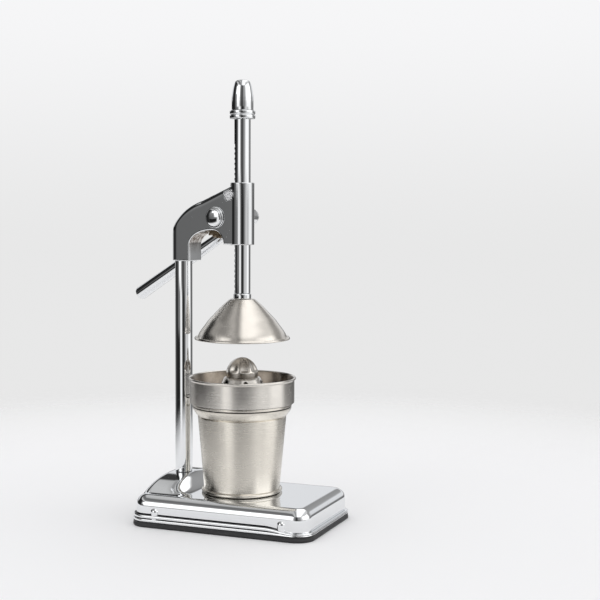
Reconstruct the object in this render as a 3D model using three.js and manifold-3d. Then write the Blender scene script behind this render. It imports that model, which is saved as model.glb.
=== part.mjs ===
// A bench lever press for halved citrus fruit, as separate pieces in millimetres with +Z up.
// The origin is on the press axis, at the underside of the rubber foot.
// X runs from the column to the ram, and the lever turns in a plane across Y, behind the arm.
import * as THREE from 'three';
import { mergeVertices } from 'three/addons/utils/BufferGeometryUtils.js';
import Module from 'manifold-3d';

const wasm = await Module();
wasm.setup();

// Counts and angles
const roundSteps = 40;
const smallSteps = 20;
const bulletSteps = 32;
const holeSteps = 8;
const hexSides = 6;
const bendSteps = 4;
const degree = Math.PI / 180;
const quarterTurn = 90 * degree;
const fullTurn = 360 * degree;
const baseTurn = 11 * degree;
const leverDrop = 30.75 * degree;

// Clearances
const fitGap = 0.3;
const slideGap = 0.4;
const overrun = 2;

// Layout
const reach = 68.5;
const pivotOffset = 24;
const leverPlane = 44.8;

// Rubber foot and base shell
const rearOverhang = 21.5;
const baseWidth = 120;
const baseCorner = 17;
const footHeight = 5.2;
const shellHeight = 23.1;
const shellWall = 4;
const flangeHeight = 6.2;
const flangeStep = 3;
const flangeChamfer = 0.8;
const shoulderRadius = 10;
const hillHeight = 11;
const hillSpan = 54;
const hillFlat = 9.5;
const hillCrestPower = 2.5;
const hillEdgeShare = 0.9;
const hillShares = [0.3, 0.44, 0.56, 0.68, 0.8, 1];
const lugEndInset = 27;
const lugSideInset = 5;
const lugRadius = 4.2;
const lugHeight = 12.9;
const lugDomeShare = 0.3;
const footScrewRadius = 1.8;
const footScrewLength = 7.6;
const footHeadRadius = 3.2;
const footHeadHeight = 2;
const footHeadSink = 0.8;
const columnBossRadius = 14;
const columnBossDepth = 11;

// Column and its nut
const columnRadius = 8.25;
const columnLength = 203.4;
const spigotRadius = 5;
const spigotRise = 21;
const columnWasherRadius = 11;
const columnWasherThickness = 2;
const columnNutWidth = 17;
const columnNutHeight = 6;

// Head casting
const headWidth = 20.5;
const headEdge = 6.5;
const headEdgeSteps = 4;
const legInner = 14;
const backRise = 21;
const backBendRun = 15.7;
const backBendTop = 51;
const backShoulderRun = 42;
const backShoulderRise = 57.1;
const sleeveJoinRise = 69.6;
const archSpringRise = 15;
const archCrownRise = 29.5;
const archCrownOffset = 27.5;
const archFootOffset = 14.8;
const pivotRise = 41.5;
const sleeveRadius = 11;
const sleeveLowRise = 16.4;
const sleeveHeight = 57.5;
const chamberWidth = 14;
const chamberMargin = 0.8;
const headScrewRadius = 2;
const headScrewLength = 4.2;
const headScrewRise = 7;
const headScrewPitch = 8;

// Guide bushes of the ram
const bushWall = 1.2;
const upperBushLength = 14;
const lowerBushLength = 9;

// Rack and pinion
const gearModule = 1.5;
const pinionTeeth = 24;
const pressureAngle = 20 * degree;
const rackTipShare = 0.8;
const pinionTipShare = 0.95;
const rootShare = 1.25;
const backlash = 0.4;
const plainTopTeeth = 5;
const pinionWidth = 13.2;

// Pinion shaft and what is on it
const shaftRadius = 5;
const shaftBushWall = 1.8;
const keyWidth = 3;
const keyLength = 10;
const keySinkShare = 0.5;
const capFlangeRadius = 9.9;
const capFlangeThickness = 1.2;
const capRadius = 8.3;
const capBrim = 0.6;
const capDome = 2.2;
const capBoreDepth = 1.4;
const spacerRadius = 7.6;
const hubRadius = 8;
const hubWidth = 10.4;
const hubScrewRadius = 1.8;
const hubScrewSink = 0.6;
const endWasherRadius = 7.5;
const endWasherThickness = 1;
const endNutRadius = 6.4;
const endNutBrim = 1;
const endNutDome = 2.6;

// Lever bar
const leverLength = 157.5;
const leverRootRadius = 4.85;
const leverEndRadius = 6.85;
const leverEndRound = 1.6;
const leverEndBendShare = 0.3;
const leverSpigotRadius = 3.6;
const leverSpigotLength = 2.6;

// Ram with its cap
const ramRadius = 7.5;
const ramDrop = 70.2;
const ramLength = 160.9;
const ramNeckRadius = 4;
const ramNeckLength = 16;
const capCollarRadius = 11.75;
const capCollarHeight = 7.4;
const capCollarGroove = 1;
const bulletRadius = 10;
const bulletHeight = 27.8;
const bulletShares = [
  [1, 0], [1, 0.3], [0.97, 0.5], [0.89, 0.7], [0.8, 0.84], [0.68, 0.94], [0.46, 0.99],
];

// Press cone and its fastening
const coneCollarRadius = 8.2;
const coneCollarHeight = 4.8;
const coneRadius = 41.7;
const coneHeight = 35.4;
const coneShares = [
  [0.28, 0], [0.46, 0.19], [0.643, 0.415], [0.745, 0.545], [0.83, 0.68], [0.95, 0.87], [1, 1],
];
const coneLip = 3.1;
const coneLipDrop = 2.2;
const coneWall = 1.5;
const coneScrewRadius = 3;
const coneScrewLength = 17;
const coneHeadRadius = 6;
const coneHeadHeight = 3;
const coneWasherRadius = 8;
const coneWasherThickness = 1.2;

// Juice cup
const cupHeight = 83.5;
const cupWall = 1.2;
const cupBeadRadius = 37.8;
const cupBeadHeight = 3.6;
const cupFootRadius = 35.4;
const cupBodyRadius = 41.4;
const cupBodyRise = 71;
const cupGroove = 0.9;
const cupLipRadius = 46.5;
const cupShoulderRise = 79;
const cupShoulderShares = [[0.04, 0.1], [0.3, 0.22], [0.64, 0.45], [0.88, 0.74], [1, 1]];

// Strainer bowl
const bandRadius = 48.9;
const bandHeight = 19.9;
const rimRadius = 50.4;
const rimBead = 2.4;
const rimRoundShare = 0.33;
const strainerWall = 1.2;
const strainerDepth = 7;
const plugTaper = 2;
const skirtLowRadius = 32;
const skirtTopRadius = 16.8;
const skirtTopRise = 31;
const drainHoles = 6;
const drainRadius = 2.2;
const drainPhase = 15 * degree;
const floorHoles = 28;
const floorHoleRadius = 1.5;

// Reamer
const reamerRadius = 15.1;
const reamerNeckHeight = 4;
const reamerDomeHeight = 14;
const reamerRibs = 8;
const reamerRibSteps = 8;
const reamerRibShare = 0.1;
const reamerShares = [[1, 0.04], [0.96, 0.2], [0.87, 0.42], [0.72, 0.64], [0.5, 0.83], [0.24, 0.96]];
const reamerScrewRadius = 2;
const reamerScrewLength = 9;
const reamerHeadRadius = 4.5;
const reamerHeadHeight = 2.4;

// Heights and places that follow from the sizes above
const baseLength = 2 * (reach + rearOverhang);
const shellLow = footHeight + fitGap;
const baseTop = shellLow + shellHeight;
const hillTop = baseTop + hillHeight;
const columnLow = hillTop + fitGap;
const columnHigh = columnLow + columnLength;
const headLow = columnHigh + fitGap;
const pivotHeight = headLow + pivotRise;
const sleeveLow = headLow + sleeveLowRise;
const sleeveHigh = sleeveLow + sleeveHeight;
const ramLow = pivotHeight - ramDrop;
const ramHigh = ramLow + ramLength;
const pitchRadius = gearModule * pinionTeeth / 2;
const toothPitch = Math.PI * gearModule;
const rackLine = -pivotOffset + pitchRadius;
const coneCollarLow = ramLow - fitGap - coneCollarHeight;
const coneTop = coneCollarLow - fitGap;
const cupLow = baseTop + fitGap;
const cupHigh = cupLow + cupHeight;
const ledgeHeight = cupHigh + fitGap;
const strainerFloor = ledgeHeight - strainerDepth;
const skirtTop = strainerFloor + skirtTopRise;
const rimHeight = ledgeHeight + bandHeight;
const hubLow = leverPlane - hubWidth / 2;
const hubHigh = leverPlane + hubWidth / 2;
const cheekOuter = headWidth / 2;
const cheekInner = chamberWidth / 2;
const frontFace = -cheekOuter - fitGap;
const frontNutFace = frontFace - capFlangeThickness - fitGap;
const leverWasherLow = hubHigh + fitGap;
const leverWasherHigh = leverWasherLow + endWasherThickness;
const leverNutFace = leverWasherHigh + fitGap;
const hillRun = reach - cupBeadRadius - slideGap;
const columnInBase = { x: -reach * Math.cos(baseTurn), y: reach * Math.sin(baseTurn) };

// Finishes
function finish(color, roughness, metalness) {
  return new THREE.MeshStandardMaterial({ color, roughness, metalness });
}

const chrome = finish(0xd4d6d8, 0.08, 1);
const brushed = finish(0xb5b0a8, 0.36, 1);
const rubber = finish(0x141414, 0.85, 0);
const steel = finish(0x8d8f90, 0.42, 1);
const bronze = finish(0xa8834a, 0.45, 1);

// Closes a geometry: shared corners are merged and triangles without area are dropped
function closed(geometry) {
  const bare = new THREE.BufferGeometry();
  bare.setAttribute('position', geometry.getAttribute('position').clone());
  if (geometry.index) bare.setIndex(geometry.index.clone());
  const merged = mergeVertices(bare);
  const corners = merged.index.array;
  const kept = [];
  for (let i = 0; i < corners.length; i += 3) {
    const [a, b, c] = [corners[i], corners[i + 1], corners[i + 2]];
    if (a !== b && b !== c && c !== a) kept.push(a, b, c);
  }
  merged.setIndex(kept);
  return merged;
}

// Solids that can be joined and cut
function toSolid(geometry) {
  const vertProperties = new Float32Array(geometry.getAttribute('position').array);
  const triVerts = new Uint32Array(geometry.index.array);
  return new wasm.Manifold(new wasm.Mesh({ numProp: 3, vertProperties, triVerts }));
}

function toGeometry(solid) {
  const { vertProperties, triVerts } = solid.getMesh();
  const geometry = new THREE.BufferGeometry();
  geometry.setAttribute('position', new THREE.Float32BufferAttribute(vertProperties, 3));
  geometry.setIndex(Array.from(triVerts));
  return geometry;
}

function join(first, ...others) {
  return toGeometry(others.reduce((whole, other) => whole.add(toSolid(other)), toSolid(first)));
}

function cut(first, ...others) {
  return toGeometry(others.reduce((whole, other) => whole.subtract(toSolid(other)), toSolid(first)));
}

// A profile of [radius, height] points, turned about Z
function turned(profile, steps = roundSteps) {
  const points = profile.map(([radius, height]) => new THREE.Vector2(radius, height));
  return closed(new THREE.LatheGeometry(points, steps).rotateX(quarterTurn));
}

function rod(radius, low, high, steps = smallSteps) {
  return turned([[0, low], [radius, low], [radius, high], [0, high]], steps);
}

function ring(outer, inner, low, high, steps = smallSteps) {
  return turned([[inner, low], [outer, low], [outer, high], [inner, high], [inner, low]], steps);
}

// The same shapes with their axis laid along Y or X
const alongY = (geometry) => geometry.rotateX(-quarterTurn);
const alongX = (geometry) => geometry.rotateY(quarterTurn);

// A block between two corners
function block(low, high) {
  const size = high.map((value, axis) => value - low[axis]);
  const middle = high.map((value, axis) => (value + low[axis]) / 2);
  return closed(new THREE.BoxGeometry(...size).translate(...middle));
}

// An outline in X and Z, given a width along Y about the middle plane, with rounded edges if asked
function sideways(shape, width, edge = 0) {
  const settings = {
    depth: width - 2 * edge,
    curveSegments: smallSteps / 2,
    bevelEnabled: edge > 0,
    bevelThickness: edge,
    bevelSize: edge,
    bevelOffset: -edge,
    bevelSegments: headEdgeSteps,
  };
  const geometry = new THREE.ExtrudeGeometry(shape, settings);
  return closed(geometry.translate(0, 0, edge - width / 2).rotateX(quarterTurn));
}

// Rings of points, from the middle of one side outwards and back to the middle of the other
function lofted(rings, first, last) {
  const count = rings[0].length;
  const points = [first, ...rings.flat(), last];
  const faces = [];
  const at = (ringIndex, i) => 1 + ringIndex * count + i % count;
  for (let i = 0; i < count; i += 1) {
    faces.push(0, at(0, i), at(0, i + 1));
    faces.push(points.length - 1, at(rings.length - 1, i + 1), at(rings.length - 1, i));
    for (let k = 0; k < rings.length - 1; k += 1) {
      faces.push(at(k, i), at(k + 1, i), at(k + 1, i + 1));
      faces.push(at(k, i), at(k + 1, i + 1), at(k, i + 1));
    }
  }
  const geometry = new THREE.BufferGeometry();
  geometry.setAttribute('position', new THREE.Float32BufferAttribute(points.flat(), 3));
  geometry.setIndex(faces);
  return closed(geometry);
}

// The outline of the base seen from above, drawn in by an inset, from the same steps at every inset
function baseOutline(inset) {
  const halfX = baseLength / 2 - baseCorner;
  const halfY = baseWidth / 2 - baseCorner;
  const signs = [[1, 1], [-1, 1], [-1, -1], [1, -1]];
  const points = [];
  signs.forEach(([signX, signY], corner) => {
    for (let k = 0; k <= bendSteps; k += 1) {
      const angle = (corner + k / bendSteps) * quarterTurn;
      const radius = baseCorner - inset;
      points.push([signX * halfX + radius * Math.cos(angle), signY * halfY + radius * Math.sin(angle)]);
    }
  });
  const outline = [];
  points.forEach((point, index) => {
    const next = points[(index + 1) % points.length];
    outline.push(point);
    if (index % (bendSteps + 1) !== bendSteps) return;
    for (let k = 1; k < bendSteps; k += 1) {
      const share = k / bendSteps;
      outline.push([point[0] + (next[0] - point[0]) * share, point[1] + (next[1] - point[1]) * share]);
    }
  });
  return outline;
}

function basePlate(inset, low, high) {
  const shape = new THREE.Shape(baseOutline(inset).map(([x, y]) => new THREE.Vector2(x, y)));
  const settings = { depth: high - low, bevelEnabled: false };
  return closed(new THREE.ExtrudeGeometry(shape, settings).translate(0, 0, low));
}

// How far the base swells under the column: a ridge across its width, with a ramp down to the cup
function hill(x, y) {
  const rampShare = THREE.MathUtils.clamp((x - columnInBase.x - hillFlat) / (hillRun - hillFlat), 0, 1);
  const crestShare = Math.min(1, Math.abs(y - columnInBase.y) / hillSpan);
  return hillHeight * (1 - crestShare ** hillCrestPower) * (1 + Math.cos(Math.PI * rampShare)) / 2;
}

// One skin of the base shell: its rings from the column out to the shoulder, and down the wall
function shellSkin(inset, drop, round) {
  const wallTop = baseTop - shoulderRadius;
  const edge = baseOutline(inset + round);
  const rings = hillShares.map((share) => edge.map(([x, y]) => {
    const [alongEdge, acrossEdge] = [x - columnInBase.x, y - columnInBase.y];
    const hillEnd = alongEdge > 0 ? hillRun / alongEdge : 1;
    const place = share * Math.min(hillEnd, hillEdgeShare);
    const px = columnInBase.x + alongEdge * place;
    const py = columnInBase.y + acrossEdge * place;
    return [px, py, baseTop - drop + hill(px, py)];
  }));
  for (let k = bendSteps; k >= 0; k -= 1) {
    const angle = quarterTurn * k / bendSteps;
    const bend = baseOutline(inset + round * (1 - Math.cos(angle)));
    const height = wallTop + (shoulderRadius - drop) * Math.sin(angle);
    rings.push(bend.map(([x, y]) => [x, y, height + hill(x, y)]));
  }
  return rings;
}

function footScrewPlaces() {
  const x = baseLength / 2 - lugEndInset;
  const y = baseWidth / 2 - lugSideInset;
  return [[x, y], [-x, y], [-x, -y], [x, -y]];
}

function makeBaseShell() {
  const level = (inset, height) => baseOutline(inset).map(([x, y]) => [x, y, height]);
  const flangeTop = shellLow + flangeHeight;
  const rings = [
    ...shellSkin(flangeStep, 0, shoulderRadius),
    level(flangeStep, flangeTop),
    level(flangeChamfer, flangeTop),
    level(0, flangeTop - flangeChamfer),
    level(0, shellLow + flangeChamfer),
    level(flangeChamfer, shellLow),
    level(flangeStep + shellWall, shellLow),
    ...shellSkin(flangeStep + shellWall, shellWall, shoulderRadius - shellWall).reverse(),
  ];
  const { x: columnX, y: columnY } = columnInBase;
  const outerMiddle = [columnX, columnY, hillTop];
  const innerMiddle = [columnX, columnY, hillTop - shellWall];
  const lugs = footScrewPlaces().map(([x, y]) => makeLug().translate(x, y, 0));
  const columnBossLow = hillTop - columnBossDepth;
  const columnBossHigh = hillTop - shellWall / 2;
  const columnBoss = rod(columnBossRadius, columnBossLow, columnBossHigh).translate(columnX, columnY, 0);
  const screwHoles = footScrewPlaces().map(([x, y]) => {
    const top = footHeadSink + footHeadHeight + footScrewLength + fitGap;
    return rod(footScrewRadius + fitGap, 0, top, holeSteps).translate(x, y, 0);
  });
  const columnHole = rod(spigotRadius + fitGap, 0, hillTop + overrun).translate(columnX, columnY, 0);
  return cut(join(lofted(rings, outerMiddle, innerMiddle), ...lugs, columnBoss), ...screwHoles, columnHole);
}

// A small domed lug on the flange, which takes a foot screw
function makeLug() {
  const high = shellLow + lugHeight;
  const dome = lugHeight * lugDomeShare;
  return turned([
    [0, shellLow],
    [lugRadius, shellLow],
    [lugRadius, high - dome],
    [lugRadius * Math.SQRT1_2, high - dome * (1 - Math.SQRT1_2)],
    [0, high],
  ], smallSteps);
}

function makeRubberFoot() {
  const holes = footScrewPlaces().flatMap(([x, y]) => [
    rod(footScrewRadius + fitGap, -overrun, footHeight + overrun, holeSteps).translate(x, y, 0),
    rod(footHeadRadius + fitGap, -overrun, footHeadSink + footHeadHeight + fitGap).translate(x, y, 0),
  ]);
  return cut(basePlate(0, 0, footHeight), ...holes);
}

// A screw standing on its head, with its head's underside at a height
function screw(shankRadius, shankLength, headRadius, headHeight, seat) {
  const profile = [
    [0, seat - headHeight],
    [headRadius, seat - headHeight],
    [headRadius, seat],
    [shankRadius, seat],
    [shankRadius, seat + shankLength],
    [0, seat + shankLength],
  ];
  return turned(profile, holeSteps);
}

// Column with a threaded spigot at each end, its washer and its nut under the base
const columnWasherHigh = hillTop - columnBossDepth - fitGap;
const columnWasherLow = columnWasherHigh - columnWasherThickness;
const columnNutHigh = columnWasherLow - fitGap;
const columnNutLow = columnNutHigh - columnNutHeight;

function makeColumn() {
  return turned([
    [0, columnNutLow],
    [spigotRadius, columnNutLow],
    [spigotRadius, columnLow],
    [columnRadius, columnLow],
    [columnRadius, columnHigh],
    [spigotRadius, columnHigh],
    [spigotRadius, headLow + spigotRise],
    [0, headLow + spigotRise],
  ]);
}

function hexNut(width, bore, low, high) {
  const prism = rod(width / 2 / Math.cos(Math.PI / hexSides), low, high, hexSides);
  return cut(prism, rod(bore, low - overrun, high + overrun));
}

// Head casting: a rounded side view, less the arch, the gear chamber and the bores, with the sleeve
function headOutline() {
  const left = -reach - cheekOuter;
  const right = sleeveRadius;
  const slope = (sleeveJoinRise - backShoulderRise) / (backShoulderRun - sleeveRadius);
  const rightRise = sleeveJoinRise + slope * 2 * sleeveRadius;
  const bottom = headLow - headEdge - overrun;
  const shape = new THREE.Shape();
  shape.moveTo(left, bottom);
  shape.lineTo(right, bottom);
  shape.lineTo(right, headLow + rightRise);
  shape.lineTo(-backShoulderRun, headLow + backShoulderRise);
  shape.bezierCurveTo(
    left + backBendRun, headLow + backBendTop,
    left, headLow + backRise + backBendRun,
    left, headLow + backRise,
  );
  shape.closePath();
  return shape;
}

// The space under the arm, between the leg and the sleeve
function archOutline() {
  const legFace = -reach + legInner;
  const foot = -archFootOffset;
  const crown = -archCrownOffset;
  const low = headLow - headEdge - 2 * overrun;
  const shape = new THREE.Shape();
  shape.moveTo(legFace, low);
  shape.lineTo(sleeveRadius + overrun, low);
  shape.lineTo(sleeveRadius + overrun, sleeveLow);
  shape.lineTo(foot, sleeveLow);
  shape.absellipse(crown, sleeveLow, foot - crown, archCrownRise - sleeveLowRise,
    0, quarterTurn, false);
  shape.absellipse(crown, headLow + archSpringRise, crown - legFace, archCrownRise - archSpringRise,
    quarterTurn, 2 * quarterTurn, false);
  shape.closePath();
  return shape;
}

function makeHead() {
  const body = sideways(headOutline(), headWidth, headEdge);
  const low = headLow - headEdge - 2 * overrun;
  const high = sleeveHigh + overrun;
  const side = cheekOuter + overrun;
  const floor = block([-reach - side, -side, low], [sleeveRadius + side, side, headLow]);
  const front = block([0, -side, low], [sleeveRadius + side, side, high + sleeveRadius]);
  const arch = sideways(archOutline(), headWidth + 2 * overrun);
  const roundLeg = cut(
    block([-reach - side, -side, low], [-reach, side, high]),
    rod(cheekOuter, low - overrun, high + overrun).translate(-reach, 0, 0),
  );
  const sleeve = rod(sleeveRadius, sleeveLow, sleeveHigh, roundSteps);
  const chamberRadius = pitchRadius + pinionTipShare * gearModule + chamberMargin;
  const chamber = alongY(rod(chamberRadius, -cheekInner, cheekInner)).translate(-pivotOffset, 0, pivotHeight);
  const slot = block(
    [-pivotOffset - chamberRadius, -cheekInner, headLow],
    [-sleeveRadius - fitGap, cheekInner, pivotHeight],
  );
  const shaftBoreRadius = shaftRadius + fitGap + shaftBushWall + fitGap;
  const shaftBore = alongY(rod(shaftBoreRadius, -side, side)).translate(-pivotOffset, 0, pivotHeight);
  const ramBoreRadius = ramRadius + fitGap + bushWall + fitGap;
  const ramBore = rod(ramBoreRadius, sleeveLow - overrun, sleeveHigh + overrun, roundSteps);
  const columnBore = rod(spigotRadius + fitGap, headLow - overrun, headLow + spigotRise + fitGap)
    .translate(-reach, 0, 0);
  const screwHoles = headScrewHeights().map((height) => (
    alongY(rod(headScrewRadius + fitGap, 0, side, holeSteps)).translate(-reach, 0, height)
  ));
  const cast = join(cut(body, floor, front, arch, roundLeg), sleeve);
  return cut(cast, chamber, slot, shaftBore, ramBore, columnBore, ...screwHoles);
}

function headScrewHeights() {
  return [0, 1].map((index) => headLow + headScrewRise + index * headScrewPitch);
}

function makeHeadScrew() {
  const inner = spigotRadius + fitGap;
  return alongY(rod(headScrewRadius, inner, inner + headScrewLength, holeSteps));
}

// Tooth flanks: half the angle that a tooth takes at a radius, and half a rack gap's height
const toothThickness = toothPitch / 2 - backlash;
const involute = (angle) => Math.tan(angle) - angle;

function toothHalfAngle(radius) {
  const baseRadius = pitchRadius * Math.cos(pressureAngle);
  const angle = Math.acos(Math.min(1, baseRadius / Math.max(radius, baseRadius)));
  return toothThickness / 2 / pitchRadius + involute(pressureAngle) - involute(angle);
}

function makePinion() {
  const rootRadius = pitchRadius - rootShare * gearModule;
  const tipRadius = pitchRadius + pinionTipShare * gearModule;
  const shape = new THREE.Shape();
  const points = [];
  for (let tooth = 0; tooth < pinionTeeth; tooth += 1) {
    const middle = tooth / pinionTeeth * fullTurn;
    const flank = [];
    for (let k = 0; k <= bendSteps; k += 1) {
      const radius = rootRadius + (tipRadius - rootRadius) * k / bendSteps;
      flank.push([radius, toothHalfAngle(radius)]);
    }
    const place = (radius, angle) => {
      points.push(new THREE.Vector2(radius * Math.cos(angle), radius * Math.sin(angle)));
    };
    flank.forEach(([radius, half]) => place(radius, middle - half));
    flank.reverse().forEach(([radius, half]) => place(radius, middle + half));
  }
  shape.setFromPoints(points);
  const bore = alongY(rod(shaftRadius + fitGap, -pinionWidth, pinionWidth));
  return cut(sideways(shape, pinionWidth), bore, makeKeyway());
}

// The key is half in the shaft and half in the pinion, on the side away from the rack
function keyBlock(gap) {
  const sink = keyWidth * keySinkShare;
  const half = keyWidth / 2 + gap;
  const long = keyLength / 2 + gap;
  const outer = shaftRadius + keyWidth - sink + gap;
  return block([-outer, -long, -half], [-shaftRadius + sink + gap, long, half]);
}

// The pinion's keyway runs right through it, so that it slides over the key
function makeKeyway() {
  const half = keyWidth / 2 + fitGap;
  const outer = shaftRadius + keyWidth * (1 - keySinkShare) + fitGap;
  return block([-outer, -pinionWidth, -half], [0, pinionWidth, half]);
}

function makeShaft() {
  const low = frontNutFace - capBoreDepth + fitGap;
  const high = leverNutFace + endNutBrim;
  return cut(alongY(rod(shaftRadius, low, high)), keyBlock(fitGap));
}

// A domed nut with a blind bore, standing on Z = 0 with its dome upwards
function domeNut(radius, brim, dome, boreRadius, boreDepth) {
  const profile = [[boreRadius, 0], [radius, 0], [radius, brim]];
  for (let k = 1; k < bendSteps; k += 1) {
    const angle = quarterTurn * k / bendSteps;
    profile.push([radius * Math.cos(angle), brim + dome * Math.sin(angle)]);
  }
  profile.push([0, brim + dome], [0, boreDepth], [boreRadius, boreDepth], [boreRadius, 0]);
  return turned(profile, smallSteps);
}

// Lever, drawn along X from the pivot
function makeHub() {
  const half = hubWidth / 2;
  const body = alongY(rod(hubRadius, -half, half, roundSteps));
  const bore = alongY(rod(shaftRadius + fitGap, -half - overrun, half + overrun));
  const barHole = alongX(rod(leverSpigotRadius + fitGap, shaftRadius, hubRadius + overrun));
  const screwHole = alongX(rod(hubScrewRadius + fitGap, -hubRadius - overrun, -shaftRadius, holeSteps));
  return cut(body, bore, barHole, screwHole);
}

function makeLeverBar() {
  const start = hubRadius + fitGap;
  const inner = start - leverSpigotLength;
  return alongX(turned([
    [0, inner],
    [leverSpigotRadius, inner],
    [leverSpigotRadius, start],
    [leverRootRadius, start],
    [leverEndRadius, leverLength - leverEndRound],
    [leverEndRadius - leverEndRound * leverEndBendShare, leverLength - leverEndRound * leverEndBendShare],
    [leverEndRadius - leverEndRound, leverLength],
    [0, leverLength],
  ], smallSteps));
}

// Ram with rack teeth on the side of the column
function rackHalfGap(depthFromLine) {
  return (toothPitch - toothThickness) / 2 - depthFromLine * Math.tan(pressureAngle);
}

function rackOutline() {
  const tip = rackLine - rackTipShare * gearModule;
  const root = rackLine + rootShare * gearModule;
  const outside = -ramRadius - overrun;
  const below = Math.floor((pivotHeight - ramLow) / toothPitch - 1 / 2);
  const above = Math.floor((ramHigh - pivotHeight - plainTopTeeth * toothPitch) / toothPitch);
  const shape = new THREE.Shape();
  shape.moveTo(outside, pivotHeight - (below + 1 / 2) * toothPitch);
  for (let k = -below; k <= above; k += 1) {
    const middle = pivotHeight + k * toothPitch;
    const tipHalf = rackHalfGap(tip - rackLine);
    const rootHalf = rackHalfGap(root - rackLine);
    if (k === -below) shape.lineTo(tip, middle - toothPitch / 2);
    shape.lineTo(tip, middle - tipHalf);
    shape.lineTo(root, middle - rootHalf);
    shape.lineTo(root, middle + rootHalf);
    shape.lineTo(tip, middle + tipHalf);
  }
  shape.lineTo(tip, pivotHeight + (above + 1 / 2) * toothPitch);
  shape.lineTo(outside, pivotHeight + (above + 1 / 2) * toothPitch);
  shape.closePath();
  return shape;
}

function makeRam() {
  const body = turned([
    [0, ramLow],
    [ramRadius, ramLow],
    [ramRadius, ramHigh],
    [ramNeckRadius, ramHigh],
    [ramNeckRadius, ramHigh + ramNeckLength],
    [0, ramHigh + ramNeckLength],
  ]);
  const screwBore = rod(coneScrewRadius + fitGap, ramLow - overrun, ramLow + coneScrewLength);
  return cut(body, sideways(rackOutline(), 2 * ramRadius + 2 * overrun), screwBore);
}

const capCollarLow = ramHigh + fitGap;
const bulletLow = capCollarLow + capCollarHeight + fitGap;

function makeCapCollar() {
  const inner = ramNeckRadius + fitGap;
  const middle = capCollarLow + capCollarHeight / 2;
  const half = capCollarGroove / 2;
  const high = capCollarLow + capCollarHeight;
  return turned([
    [inner, capCollarLow],
    [capCollarRadius - half, capCollarLow],
    [capCollarRadius, capCollarLow + half],
    [capCollarRadius, middle - half],
    [capCollarRadius - capCollarGroove, middle],
    [capCollarRadius, middle + half],
    [capCollarRadius, high - half],
    [capCollarRadius - half, high],
    [inner, high],
    [inner, capCollarLow],
  ]);
}

function makeBullet() {
  const bore = ramNeckRadius + fitGap;
  const boreHigh = ramHigh + ramNeckLength + fitGap;
  const outside = bulletShares.map(([out, up]) => [bulletRadius * out, bulletLow + bulletHeight * up]);
  const inside = [[0, bulletLow + bulletHeight], [0, boreHigh], [bore, boreHigh], [bore, bulletLow]];
  return turned([[bore, bulletLow], ...outside, ...inside], bulletSteps);
}

// Press cone with its turned-out lip
const coneUnder = coneTop - coneWall;
const coneWasherLow = coneUnder - fitGap - coneWasherThickness;
const coneHeadTop = coneWasherLow - fitGap;

function makeCone() {
  const outside = coneShares.map(([out, down]) => [coneRadius * out, coneTop - coneHeight * down]);
  const lipLow = coneTop - coneHeight - coneLipDrop;
  const slantWall = coneWall * Math.SQRT2;
  const inside = outside.map(([radius, height]) => [radius - coneWall / 2, height - coneWall]);
  const hole = coneScrewRadius + fitGap;
  return turned([
    [hole, coneTop],
    [hole, coneUnder],
    [coneShares[0][0] * coneRadius - slantWall, coneUnder],
    ...inside.slice(1, -1).map(([radius, height]) => [radius - coneWall / 2, height]),
    [coneRadius - coneWall, coneTop - coneHeight - coneWall / 2],
    [coneRadius + coneLip - coneWall, lipLow],
    [coneRadius + coneLip, lipLow + coneWall / 2],
    [coneRadius + coneLip - coneWall / 2, lipLow + coneWall],
    ...outside.slice().reverse(),
    [hole, coneTop],
  ]);
}

// Juice cup
function makeCup() {
  const bodyHigh = cupLow + cupBodyRise;
  const shoulderLow = bodyHigh + cupGroove;
  const shoulderHigh = cupLow + cupShoulderRise;
  const inMouth = cupLipRadius - cupWall;
  const shoulder = cupShoulderShares.map(([out, up]) => [
    cupBodyRadius + (cupLipRadius - cupBodyRadius) * out,
    shoulderLow + (shoulderHigh - shoulderLow) * up,
  ]);
  const inside = shoulder.map(([radius, height]) => [radius - cupWall, height]);
  const half = cupBeadHeight / 2;
  return turned([
    [0, cupLow],
    [cupBeadRadius - half / 2, cupLow],
    [cupBeadRadius, cupLow + half / 2],
    [cupBeadRadius, cupLow + cupBeadHeight - half / 2],
    [cupFootRadius, cupLow + cupBeadHeight],
    [cupBodyRadius, bodyHigh],
    [cupBodyRadius - cupGroove, bodyHigh + cupGroove / 2],
    ...shoulder,
    [cupLipRadius, cupHigh],
    [inMouth, cupHigh],
    ...inside.reverse(),
    [cupBodyRadius - cupGroove - cupWall, bodyHigh],
    [cupFootRadius - cupWall, cupLow + cupBeadHeight],
    [cupFootRadius - 2 * cupWall, cupLow + cupWall],
    [0, cupLow + cupWall],
  ]);
}

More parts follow.
